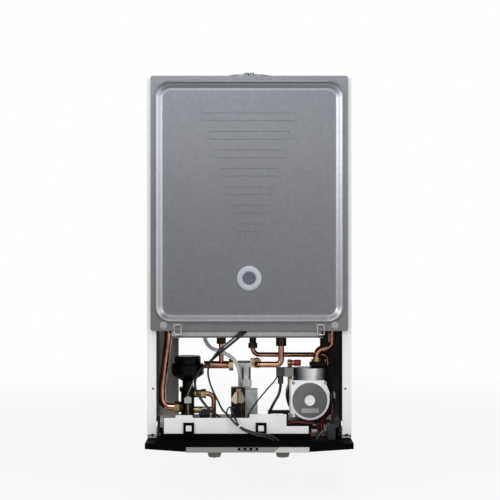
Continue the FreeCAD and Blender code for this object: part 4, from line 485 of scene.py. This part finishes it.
def two_tone(name, edge, first, second, lean=0.0):
    """Moulded plastic of two colours that meet at one place along x, on a line that may lean with height."""
    paint = Paint(name)
    shade = paint.noise(30, 5)
    fine = paint.noise(900, 2)
    across = paint.reckon("MULTIPLY_ADD", paint.place_along("Z"), lean, paint.place_along("X"))
    side = paint.step(across, edge - 0.0001, edge + 0.0001)
    paint.colour(paint.blend(side, paint.shades(shade, *first), paint.shades(shade, *second)))
    paint.rough(paint.span(shade, 0.4, 0.55, 0.3, 0.7))
    paint.bump(fine, 0.08, 0.0004)
    return paint.material


def painted_highlight_band(name, edges, stops, metal, rough):
    """Satin plastic, half metallic, with a painted highlight: a pale band of colour that comes and goes along
    x, between two edges; faces that look up stay near black.
    """
    paint = Paint(name, metal=metal)
    shade = paint.noise(40, 5)
    fine = paint.noise(900, 2)
    wavering = paint.reckon("MULTIPLY_ADD", shade, 0.002, paint.place_along("X"))
    bluish = [(place, (tone, tone, 1.02 * tone)) for place, tone in stops]
    band = paint.ramp(paint.step(wavering, *edges), bluish)
    upward = paint.step(paint.facing("Z"), 0.2, 0.5)
    paint.colour(paint.blend(upward, band, grey(0.006)))
    paint.rough(paint.span(shade, *rough, 0.3, 0.7))
    paint.bump(fine, 0.03, 0.0004)
    return paint.material


def painted_panel(name, inward):
    """White painted sheet with a faint orange peel, dark on its inner side, which faces along x."""
    paint = Paint(name)
    shade = paint.noise(7, 4)
    peel = paint.noise(380, 2)
    white = paint.shades(shade, (0.725, 0.725, 0.715), (0.775, 0.775, 0.765))
    inner = paint.step(paint.facing("X"), 0.5 * inward, 0.9 * inward)
    paint.colour(paint.blend(inner, white, (0.028, 0.027, 0.026)))
    paint.rough(paint.span(shade, 0.28, 0.42))
    paint.bump(peel, 0.05, 0.0003)
    return paint.material


def glass_like(name, tint):
    """The sight glass: dark and glossy, faintly blue, with a little dust."""
    paint = Paint(name)
    dust = paint.noise(300, 4)
    paint.colour(paint.ramp(dust, [(0.4, tint), (0.8, tuple(0.9 * c + 0.05 for c in tint))]))
    paint.rough(paint.span(dust, 0.04, 0.16))
    paint.shader.inputs["Coat Weight"].default_value = 0.5
    paint.shader.inputs["Coat Roughness"].default_value = 0.05
    return paint.material


def fittings_metal(name):
    """Brass for the fittings, black on the nuts that hang under the chamber floor."""
    paint = Paint(name, metal=1.0)
    stain = paint.noise(60, 6)
    fine = paint.noise(800, 2)
    brass = paint.ramp(stain, [
        (0.3, (0.20, 0.13, 0.05)), (0.5, (0.52, 0.38, 0.18)), (0.75, (0.68, 0.54, 0.30)),
    ])
    black = paint.shades(stain, (0.012, 0.009, 0.007), (0.045, 0.03, 0.02))
    paint.colour(paint.blend(paint.step(paint.place_along("Z"), *NUT_LEVEL), brass, black))
    paint.rough(paint.span(stain, 0.45, 0.25, 0.3, 0.7))
    paint.bump(fine, 0.08, 0.0004)
    return paint.material


def two_metals(name, edge, first, second, rough, scale=40):
    """Cast or turned metal whose stain changes tone at one place along x."""
    paint = Paint(name, metal=1.0)
    stain = paint.noise(scale, 6)
    fine = paint.noise(800, 2)
    side = paint.step(paint.place_along("X"), edge - 0.001, edge + 0.001)
    paint.colour(paint.blend(side, paint.ramp(stain, first), paint.ramp(stain, second)))
    paint.rough(paint.span(stain, rough[1], rough[0], 0.3, 0.7))
    paint.bump(fine, 0.08, 0.0004)
    return paint.material


def cast_metal(name, edge, lower, upper, front):
    """Die-cast metal, its lower block darker, with painted shade on what lies behind its front."""
    paint = Paint(name, metal=1.0)
    stain = paint.noise(40, 6)
    fine = paint.noise(900, 2)
    side = paint.step(paint.place_along("Z"), edge - 0.001, edge + 0.001)
    tone = paint.blend(side, paint.shades(stain, *lower), paint.shades(stain, *upper))
    # Painted shade on surfaces that lie behind the valve's front
    shade_behind_front = paint.span(paint.place_along("Y"), 0, 0.8, front + 0.001, front + 0.006)
    paint.colour(paint.blend(shade_behind_front, tone, RECESS_SHADE))
    paint.rough(paint.span(stain, 0.55, 0.42, 0.3, 0.7))
    paint.bump(fine, 0.15, 0.0004)
    return paint.material


def dress(material, *names):
    """Gives CAD nodes a material in place of their own."""
    for name in names:
        mesh = nodes[name].data
        for i in range(len(mesh.materials)):
            mesh.materials[i] = material
        if not mesh.materials:
            mesh.materials.append(material)


COVER = cover_metal("cover_sheet", (0.139, 0.143, 0.151), (0.154, 0.159, 0.169), (0.32, 0.40))
FASTENING = fastening_metal("fastenings", (0.13, 0.13, 0.135), (0.19, 0.19, 0.195))
GALVANISED = sheet_metal("galvanised_sheet", (0.30, 0.305, 0.31), (0.36, 0.365, 0.37), (0.4, 0.5))
PAN = pan_metal("pan_sheet", (0.36, 0.362, 0.36), (0.43, 0.432, 0.43))
RAILS = rail_metal("rear_rails")
ZINC = sheet_metal("zinc_plated", (0.30, 0.30, 0.30), (0.40, 0.40, 0.39), (0.3, 0.42), 240)
VALVE_BLOCK_TOP = -0.590
VALVE_FRONT = -0.198
CAST = cast_metal(
    "cast_aluminium", VALVE_BLOCK_TOP, ((0.27, 0.275, 0.275), (0.44, 0.445, 0.445)),
    ((0.32, 0.33, 0.34), (0.52, 0.53, 0.54)), VALVE_FRONT,
)
WIRE = plain_metal("latch_wire", [(0.3, (0.26, 0.255, 0.235)), (0.7, (0.52, 0.51, 0.48))], 60, (0.3, 0.45))
ALUMINIUM_STOPS = [(0.3, (0.66, 0.67, 0.69)), (0.7, (0.82, 0.83, 0.85))]
BRIGHT = plain_metal("bright_aluminium", ALUMINIUM_STOPS, 40, (0.3, 0.45), 0.1)
COPPER = plain_metal(
    "copper_tube", [
        (0.28, (0.12, 0.055, 0.036)), (0.45, (0.40, 0.200, 0.138)),
        (0.62, (0.58, 0.320, 0.235)), (0.8, (0.76, 0.49, 0.38)),
    ], 22, (0.14, 0.30), 0.03,
)
BRASS = plain_metal(
    "brass_body",
    [(0.3, (0.14, 0.10, 0.045)), (0.5, (0.40, 0.30, 0.14)), (0.75, (0.60, 0.48, 0.27))], 55, (0.28, 0.5),
)
COLUMN_EDGE = -0.112
BRONZE = two_metals(
    "dark_bronze", COLUMN_EDGE,
    [(0.35, (0.012, 0.010, 0.007)), (0.55, (0.045, 0.036, 0.016)), (0.8, (0.24, 0.20, 0.09))],
    [(0.35, (0.10, 0.085, 0.04)), (0.55, (0.36, 0.31, 0.16)), (0.8, (0.60, 0.54, 0.33))], (0.25, 0.5), 45,
)
MOTOR_SIDE = 0.0835
MOTOR = two_metals(
    "motor_aluminium", MOTOR_SIDE, [(0.3, (0.16, 0.155, 0.145)), (0.7, (0.34, 0.33, 0.31))],
    ALUMINIUM_STOPS, (0.3, 0.45),
)
FITTINGS = fittings_metal("brass_fittings")
BLACK = moulded("black_plastic", (0.003, 0.003, 0.0035), (0.008, 0.008, 0.009), (0.42, 0.58), specular=0.15)
SATIN = moulded("bezel_black", grey(0.0008), grey(0.002), (0.5, 0.65), bump=0.06, specular=0.02)
GLOSS = moulded("gloss_black", grey(0.004), grey(0.008), (0.12, 0.2), bump=0.02, specular=0.3)
DRUM = moulded(
    "drum_black", (0.0025, 0.0025, 0.003), (0.005, 0.005, 0.006), (0.26, 0.34), bump=0.04, specular=0.08,
)
RUBBER = moulded("black_rubber", grey(0.008), (0.02, 0.019, 0.018), (0.6, 0.75), bump=0.15, specular=0.3)
LEAD = moulded(
    "lead_sheath", (0.006, 0.006, 0.007), (0.014, 0.014, 0.015), (0.38, 0.5), bump=0.05, specular=0.35,
)
GREY_LEAD = moulded("grey_sheath", (0.34, 0.35, 0.36), (0.46, 0.47, 0.48), (0.4, 0.5), bump=0.05)
MAROON = moulded("maroon_sheath", (0.055, 0.006, 0.010), (0.10, 0.012, 0.018), (0.38, 0.5), bump=0.05)
SCARLET = moulded("dark_red_sheath", (0.22, 0.016, 0.022), (0.32, 0.030, 0.036), (0.38, 0.5), bump=0.05)
TEAL = moulded("green_sheath", (0.03, 0.12, 0.10), (0.05, 0.19, 0.16), (0.38, 0.5), bump=0.05)
HOSE = moulded("silicone_hose", (0.44, 0.455, 0.48), (0.56, 0.575, 0.60), (0.35, 0.5), bump=0.04)
WHITE = moulded("white_plastic", (0.69, 0.68, 0.68), (0.77, 0.76, 0.76), (0.32, 0.45), bump=0.05)
GREY = moulded("grey_plastic", (0.34, 0.365, 0.405), (0.42, 0.445, 0.485), (0.4, 0.55))
SMOKE = moulded("dark_grey_plastic", (0.010, 0.010, 0.011), (0.022, 0.022, 0.023), (0.35, 0.5), specular=0.3)
TERMINAL_BOX_EDGES = (0.0897, 0.1567)
# The terminal box's painted highlight: dark at its left edge, pale right of its middle, dark again at its
# right edge
TERMINAL_HIGHLIGHT = painted_highlight_band("terminal_box_painted_highlight", TERMINAL_BOX_EDGES, [
    (0.02, 0.008), (0.12, 0.035), (0.22, 0.09), (0.30, 0.24), (0.40, 0.44), (0.52, 0.64),
    (0.64, 0.80), (0.76, 0.82), (0.86, 0.66), (0.94, 0.30), (1.0, 0.02),
], 0.5, (0.28, 0.36))
BUTTON = moulded("button_grey", (0.10, 0.10, 0.095), (0.15, 0.15, 0.14), (0.4, 0.55))
PLUG_EDGE = 0.0717
PLUG = two_tone(
    "pump_plug_plastic", PLUG_EDGE, ((0.008, 0.008, 0.009), (0.016, 0.016, 0.017)),
    ((0.13, 0.14, 0.15), (0.20, 0.21, 0.22)),
)
# The fascia's darker and lighter tones meet on a leaning line through one place in x and z
FASCIA_LEAN = -1.1
FASCIA_PLACE = (0.051, -0.693)
FASCIA = two_tone(
    "fascia_grey", FASCIA_PLACE[0] + FASCIA_LEAN * FASCIA_PLACE[1],
    ((0.19, 0.185, 0.18), (0.235, 0.23, 0.225)), ((0.48, 0.47, 0.46), (0.56, 0.55, 0.54)), lean=FASCIA_LEAN,
)
KNOB = moulded("knob_grey", (0.105, 0.105, 0.095), (0.15, 0.15, 0.135), (0.4, 0.55))
COIL_PLUG_MIDDLE = -0.0232
CREAM = two_tone(
    "cream_plastic", COIL_PLUG_MIDDLE, ((0.50, 0.44, 0.28), (0.66, 0.60, 0.42)),
    ((0.19, 0.16, 0.105), (0.30, 0.26, 0.18)),
)
BROWN = moulded("red_brown_tabs", (0.16, 0.045, 0.035), (0.46, 0.25, 0.22), (0.4, 0.55), scale=160)
RED = moulded("red_plastic", (0.40, 0.035, 0.03), (0.52, 0.07, 0.06), (0.3, 0.45), bump=0.05)
VESSEL = moulded("red_paint", (0.34, 0.03, 0.025), (0.44, 0.05, 0.04), (0.35, 0.5), bump=0.06)
LABEL = moulded("label_face", (0.115, 0.118, 0.122), (0.165, 0.168, 0.172), (0.35, 0.5), bump=0.04, scale=60)
PLATE = moulded("label_plate", (0.36, 0.36, 0.365), (0.48, 0.48, 0.485), (0.35, 0.5), bump=0.04, scale=80)
BOARD = moulded("circuit_board", (0.03, 0.14, 0.06), (0.06, 0.22, 0.10), (0.35, 0.5), bump=0.2, scale=120)
GLASS = glass_like("sight_glass", (0.055, 0.068, 0.105))
FOAM = moulded("seal_foam", grey(0.03), grey(0.06), (0.75, 0.9), 500, 0.5)

dress(painted_panel("left_panel_paint", 1), "left_side_panel")
dress(painted_panel("right_panel_paint", -1), "right_side_panel")
dress(COVER, "chamber_cover")
dress(FASTENING, "cover_fastenings", "flue_collar")
dress(GALVANISED, "chamber_shell", "combustion_box", "flue_hood")
dress(PAN, "chamber_floor")
dress(RAILS, "rear_frame")
dress(WIRE, "left_latch_bail", "right_latch_bail")
dress(ZINC, "burner", "fan_housing", "fan_motor")
dress(CAST, "gas_valve")
dress(MOTOR, "pump_motor")
dress(BRIGHT, "fan_wheel", "pump_vent_plug")
dress(COPPER, "flow_pipe", "return_pipe", "cold_pipe", "gas_pipe", "hot_water_pipes", "heat_exchanger")
dress(BRASS, "connection_tails", "pump_rotor")
dress(BRONZE, "flow_column")
dress(FITTINGS, "brass_fittings")
dress(VESSEL, "expansion_vessel")
dress(RUBBER, "floor_grommets")
dress(FOAM, "cover_seal")
dress(GLASS, "sight_lens")
dress(DRUM, "diverter_valve")
dress(BLACK, "pump_group", "valve_coil", "hinge_brackets")
dress(BUTTON, "left_button", "middle_button", "right_button")
dress(SATIN, "bezel")
dress(TERMINAL_HIGHLIGHT, "terminal_box")
dress(GLOSS, "filling_tap_knob")
dress(WHITE, "board_cover")
dress(GREY, "pressure_switch", "sight_ring")
dress(SMOKE, "wiring_box")
dress(PLUG, "pump_plug")
dress(FASCIA, "fascia_insert")
dress(KNOB, "heating_knob", "hot_water_knob")
dress(CREAM, "coil_plug")
dress(RED, "relief_knob")
dress(LABEL, "pump_label")
dress(BOARD, "control_board")


# Softened edges

WELD_REACH = 0.00002


def soften(width, *names, limit=35):
    """Rounds the sharp edges of CAD nodes a little, where they would catch the light."""
    for name in names:
        weld = nodes[name].modifiers.new("weld", "WELD")
        weld.merge_threshold = WELD_REACH
        bevel = nodes[name].modifiers.new("bevel", "BEVEL")
        bevel.width = width
        bevel.segments = 2
        bevel.limit_method = "ANGLE"
        bevel.angle_limit = math.radians(limit)
        bevel.harden_normals = True


soften(0.0014, "chamber_cover", limit=14)
soften(0.0004, "bezel")
soften(
    0.0007, "board_cover", "fascia_insert", "wiring_box", "valve_coil", "gas_valve", "terminal_box",
    "pump_plug",
)


# Cords

MM = 0.001
TUBE_SIDES = 14


def nurbs_curve(name, route):
    """A smooth open line with the route's points, in millimetres, as its control points."""
    curve = bpy.data.curves.new(name, "CURVE")
    curve.dimensions = "3D"
    curve.resolution_u = 12
    spline = curve.splines.new("NURBS")
    spline.points.add(len(route) - 1)
    for point, place in zip(spline.points, route):
        point.co = (*(MM * c for c in place), 1)
    spline.order_u = 3
    spline.use_endpoint_u = True
    return curve


def line_points(name, route):
    """The points of the route's smooth line, in metres."""
    holder = bpy.data.objects.new(name, nurbs_curve(name, route))
    scene.collection.objects.link(holder)
    bpy.context.view_layer.update()
    mesh = bpy.data.meshes.new_from_object(holder)
    points = [v.co.copy() for v in mesh.vertices]
    bpy.data.objects.remove(holder)
    return points


def add_ring(form, middle, across, up, radius, sides):
    """A ring of vertices round a middle."""
    ring = []
    for k in range(sides):
        turn = 2 * math.pi * k / sides
        ring.append(form.verts.new(middle + radius * (math.cos(turn) * across + math.sin(turn) * up)))
    return ring


def add_wall(form, low, high):
    """Smooth faces between two rings."""
    for k in range(len(low)):
        after = (k + 1) % len(low)
        form.faces.new((low[k], low[after], high[after], high[k])).smooth = True


def add_caps(form, rings):
    """Flat ends on the first and the last ring."""
    form.faces.new(list(reversed(rings[0])))
    form.faces.new(rings[-1])


def finished_mesh(name, form):
    """A mesh with the form's faces, which are then freed."""
    mesh = bpy.data.meshes.new(name)
    form.to_mesh(mesh)
    form.free()
    return mesh


def tube_mesh(name, points, radius):
    """A closed tube along a line, its ring carried along without twist."""
    form = bmesh.new()
    tangents = []
    for i in range(len(points)):
        before, after = points[max(i - 1, 0)], points[min(i + 1, len(points) - 1)]
        tangents.append((after - before).normalized())
    across = tangents[0].orthogonal().normalized()
    rings = []
    for point, tangent in zip(points, tangents):
        across = (across - tangent * across.dot(tangent)).normalized()
        rings.append(add_ring(form, point, across, tangent.cross(across), radius, TUBE_SIDES))
    for low, high in zip(rings, rings[1:]):
        add_wall(form, low, high)
    add_caps(form, rings)
    return finished_mesh(name, form)


def add_piece(name, data, material):
    """A piece of the scene in the shared frame, with its finish."""
    piece = bpy.data.objects.new(name, data)
    scene.collection.objects.link(piece)
    data.materials.append(material)
    return piece


def add_lead(name, node, route, radius, material=LEAD):
    """A lead that runs from the case to the lowered panel, as one fixed tube along a smooth route."""
    points = line_points(name, route)
    piece = add_piece(name, tube_mesh(name, points, MM * radius), material)
    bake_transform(piece)
    if node:
        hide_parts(node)


def add_hose(name, node, route, radius, material, body="case"):
    """A hose or wire that stays on one body."""
    curve = nurbs_curve(name, route)
    curve.bevel_depth = MM * radius
    curve.bevel_resolution = 5
    curve.use_fill_caps = True
    piece = add_piece(name, curve, material)
    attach(piece, body)
    if node:
        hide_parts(node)
    line_points(f"{name}_line", route)


add_hose("air_hose_tube", "air_hose", [
    (-92, -225, -466.2), (-92, -225, -504.2), (-47, -230, -516.5), (-24, -231, -536), (-18, -229, -566),
    (-17, -205.3, -583),
], 3.75, HOSE)
add_lead("main_lead_cable", "main_lead", [
    (-6, -292.5, -469.2), (-40, -292.5, -497), (-62, -274, -516), (-82.5, -246, -536), (-106, -240, -557),
    (-111, -239, -586), (-95, -244, -612), (-76, -248, -633), (-51, -246, -648.5), (-43, -264.5, -651),
], 2.6)
add_lead("branch_lead_cable", "branch_lead", [
    (-13.5, -292.5, -468.6), (-44, -292.5, -493), (-68, -277, -515), (-85, -258, -547), (-77, -254, -582),
    (-62, -262, -610), (-52, -294, -625), (-42, -328, -626.5), (-24, -341, -648), (12, -339, -662),
    (44, -338, -665), (58, -338, -678.1),
], 1.9)
add_lead("pump_lead_cable", "pump_lead", [
    (63.7, -203, -581.7), (63.7, -203, -599.7), (46, -212, -626), (38, -234, -645), (35, -265.1, -652),
], 2.9)
add_lead("relay_lead_cable", "relay_lead", [
    (168, -174, -585), (168, -192, -585), (170, -216, -612), (168, -250, -630), (163, -280, -634),
    (160.5, -291, -648.2),
], 1.9)

# Thin wires that only the looks need
add_lead("switch_lead_cable", None, [
    (57.5, -203, -566), (52, -203, -576), (42.1, -206, -586), (18.4, -226, -611), (5.4, -240, -627),
    (-3, -256, -640), (-6, -267, -646),
], 1.5)
add_lead("coil_lead_cable", None, [
    (-33, -221.5, -636), (-35, -240, -626), (-37, -264, -625), (-35, -292, -626.5), (-30, -323, -628),
    (-22, -340, -646), (-12, -341, -656), (14, -341.5, -666), (38, -341, -668.5), (50, -338, -678.3),
], 1.8)
add_hose("sensor_wire", None, [
    (-101.8, -191, -555.6), (-104.5, -203, -563), (-116.6, -207, -582), (-122, -203, -596),
    (-126, -197, -603), (-126, -192, -610.5),
], 1.0, GREY_LEAD)
add_hose("sensor_tail", None, [
    (-126, -192, -622), (-125.5, -197, -632), (-125, -196, -642), (-124, -183, -652),
], 1.0, GREY_LEAD)
add_hose("coil_loop_upper", None, [
    (-24, -221.5, -631), (-25, -233, -627), (-30, -242, -623.5), (-36, -245, -628), (-36, -245, -638),
    (-32, -243, -646), (-27, -237, -650), (-25, -221.5, -649),
], 1.4, LEAD)
add_hose("coil_loop_lower", None, [
    (-34, -221.5, -630), (-35, -233, -627), (-39, -242, -623.5), (-45, -246, -629), (-45, -246, -640),
    (-41, -243, -648), (-36, -234, -651), (-34, -221.5, -648),
], 1.4, LEAD)
add_hose("coil_wire_red", None, [
    (-16, -229, -617), (-16.5, -230, -628), (-15.5, -229, -640), (-15, -221.5, -650),
], 1.0, MAROON)
add_hose("coil_wire_black", None, [
    (-12.5, -229, -617), (-12, -230, -628), (-12.5, -229, -640), (-12, -221.5, -650),
], 1.0, LEAD)
for name, shift, sheath in (
    ("first", 0, SCARLET), ("second", 3, MAROON), ("third", -3, LEAD),
    ("fourth", 6, MAROON), ("fifth", -6, MAROON),
):
    add_lead(f"{name}_pump_wire", None, [
        (172 - 0.5 * shift, -178, -614), (172 - 0.5 * shift, -181, -626), (165 + shift, -193, -638),
        (153.5 + shift, -204, -647), (146 + shift, -213, -655), (145 + 1.4 * shift, -225, -664),
        (146 + 1.4 * shift, -246, -670), (146 + 1.2 * shift, -268, -679),
    ], 1.2, sheath)
for name, drop, sheath in (("upper", 0, MAROON), ("lower", 2.6, SCARLET)):
    add_hose(f"{name}_group_wire", None, [
        (80, -185.5, -664 - drop), (84, -196, -660 - drop), (97, -203, -657.5 - drop),
        (115, -205, -659 - drop), (131, -203, -660.5 - drop), (140, -198, -664 - drop),
        (143, -185.5, -668 - drop),
    ], 1.2, sheath)
add_hose("earth_wire", None, [
    (153.5, -292, -664), (147, -297, -663), (138, -300, -668), (131, -299, -680),
], 1.1, TEAL, body="panel")


# Small fittings

TURNED_SIDES = 32


def rect(x0, x1, z0, z1):
    """The corners of an upright rectangle, in millimetres."""
    return [(x0, z0), (x1, z0), (x1, z1), (x0, z1)]


def add_moulding(name, prisms, bevel, material):
    """A piece of bevelled prisms, each an outline in x and z between a front and a back in y."""
    form = bmesh.new()
    for outline, front, back in prisms:
        rings = []
        for y in (front, back):
            rings.append([form.verts.new((MM * x, MM * y, MM * z)) for x, z in outline])
        count = len(outline)
        faces = [form.faces.new(rings[0]), form.faces.new(list(reversed(rings[1])))]
        for k in range(count):
            after = (k + 1) % count
            faces.append(form.faces.new((rings[1][k], rings[1][after], rings[0][after], rings[0][k])))
        edges = list({edge for face in faces for edge in face.edges})
        bmesh.ops.bevel(form, geom=edges, offset=MM * bevel, segments=2, profile=0.5, affect="EDGES")
    bmesh.ops.recalc_face_normals(form, faces=form.faces)
    piece = add_piece(name, finished_mesh(name, form), material)
    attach(piece, "case")
    return piece


def add_turned(name, bases, axis, profile, material, body="case", hollow=False):
    """Turned pieces at one or more bases: rings of (distance along the axis, radius), in millimetres."""
    form = bmesh.new()
    axis = Vector(axis).normalized()
    across = axis.orthogonal().normalized()
    up = axis.cross(across)
    for base in bases:
        rings = []
        for along, radius in profile:
            middle = MM * (Vector(base) + along * axis)
            rings.append(add_ring(form, middle, across, up, MM * radius, TURNED_SIDES))
        next_rings = rings[1:] + rings[:1] if hollow else rings[1:]
        for low, high in zip(rings, next_rings):
            add_wall(form, low, high)
        if not hollow:
            add_caps(form, rings)
    mesh = finished_mesh(name, form)
    mesh.set_sharp_from_angle(angle=math.radians(40))
    piece = add_piece(name, mesh, material)
    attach(piece, body)
    return piece


plug = add_moulding("coil_plug_lobes", [
    ([(-29, -596), (-24.4, -596), (-24.4, -618), (-28, -619), (-36.6, -613.5), (-36.6, -610)], -236, -222),
    ([(-22, -596.5), (-14.5, -595), (-9, -610), (-9.4, -613), (-14, -618), (-22, -617)], -236, -222),
], 0.9, CREAM)
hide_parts("coil_plug")
add_moulding("coil_tabs", [
    (rect(-26.5, -16.5, -597, -589.5), -231, -221.9),
    (rect(-24.1, -22.3, -617, -596), -231, -221.9),
], 0.4, BROWN)
add_moulding("sensor_connector", [
    (rect(-133, -118.5, -622.5, -612), -199, -183.4),
    (rect(-130, -121, -613, -609.5), -196, -187),
], 0.8, WHITE)
add_moulding("housing_connector", [
    (rect(169, 177, -614.5, -604), -182, -173.8),
    (rect(170.5, 175.5, -605, -601), -181, -175),
], 0.6, WHITE)
add_moulding("group_connectors", [
    (rect(130, 142.5, -668.5, -664), -194, -185.9),
    (rect(151.6, 158.8, -678, -667), -195, -185.9),
    (rect(127.4, 138.7, -682.2, -677), -193, -185.9),
    (rect(158, 168.5, -659.5, -648.5), -180, -173.8),
], 0.6, WHITE)
add_moulding("group_bar", [
    (rect(38, 81.5, -645, -638.5), -190, -177),
    (rect(70, 80, -660.5, -640), -188, -178),
], 1.2, BLACK)
add_turned(
    "motor_screws", [(154, -222.4, -577.8), (85.3, -222.4, -643.8), (89.3, -222.4, -578.2)], (0, -1, 0),
    [(0, 3.3), (1.9, 3.3), (2.4, 2.8), (2.4, 1.7), (0.8, 1.6)], ZINC,
)
add_turned(
    "flange_plugs", [(-189.8, -299.9, -671.2), (190.4, -299.9, -671.2)], (0, -1, 0),
    [(0, 2.7), (0.5, 2.7), (0.9, 2.2), (0.9, 1.2), (0.5, 1.0)], BLACK,
)
add_turned(
    "relief_collar", [(83.5, -185, -541)], (1, 0, 0), [(0, 5.4), (0.5, 6.2), (4.5, 6.2), (5, 5.4)],
    RED, body="relief",
)
add_turned(
    "lead_tie", [(-19.6, -340.6, -648.2)], (0.62, -0.05, -0.78),
    [(-1.2, 4.3), (-1.2, 4.9), (-0.9, 5.2), (0.9, 5.2), (1.2, 4.9), (1.2, 4.3)], WHITE,
    body="panel", hollow=True,
)
add_turned(
    "inlet_nut", [(140.5, -170, -540.7)], (0, 0, 1),
    [(0, 8.1), (0, 12.6), (0.8, 13.2), (4.6, 13.2), (5.4, 12.4), (5.6, 9.8), (9.5, 9.4), (9.5, 8.1)],
    FITTINGS, hollow=True,
)
label_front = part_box("pump_label")[0][1] / MM
add_moulding("label_strip", [
    (rect(105.4, 140.7, -638.5, -629.4), label_front - 0.4, label_front + 0.05),
], 0.15, PLATE)
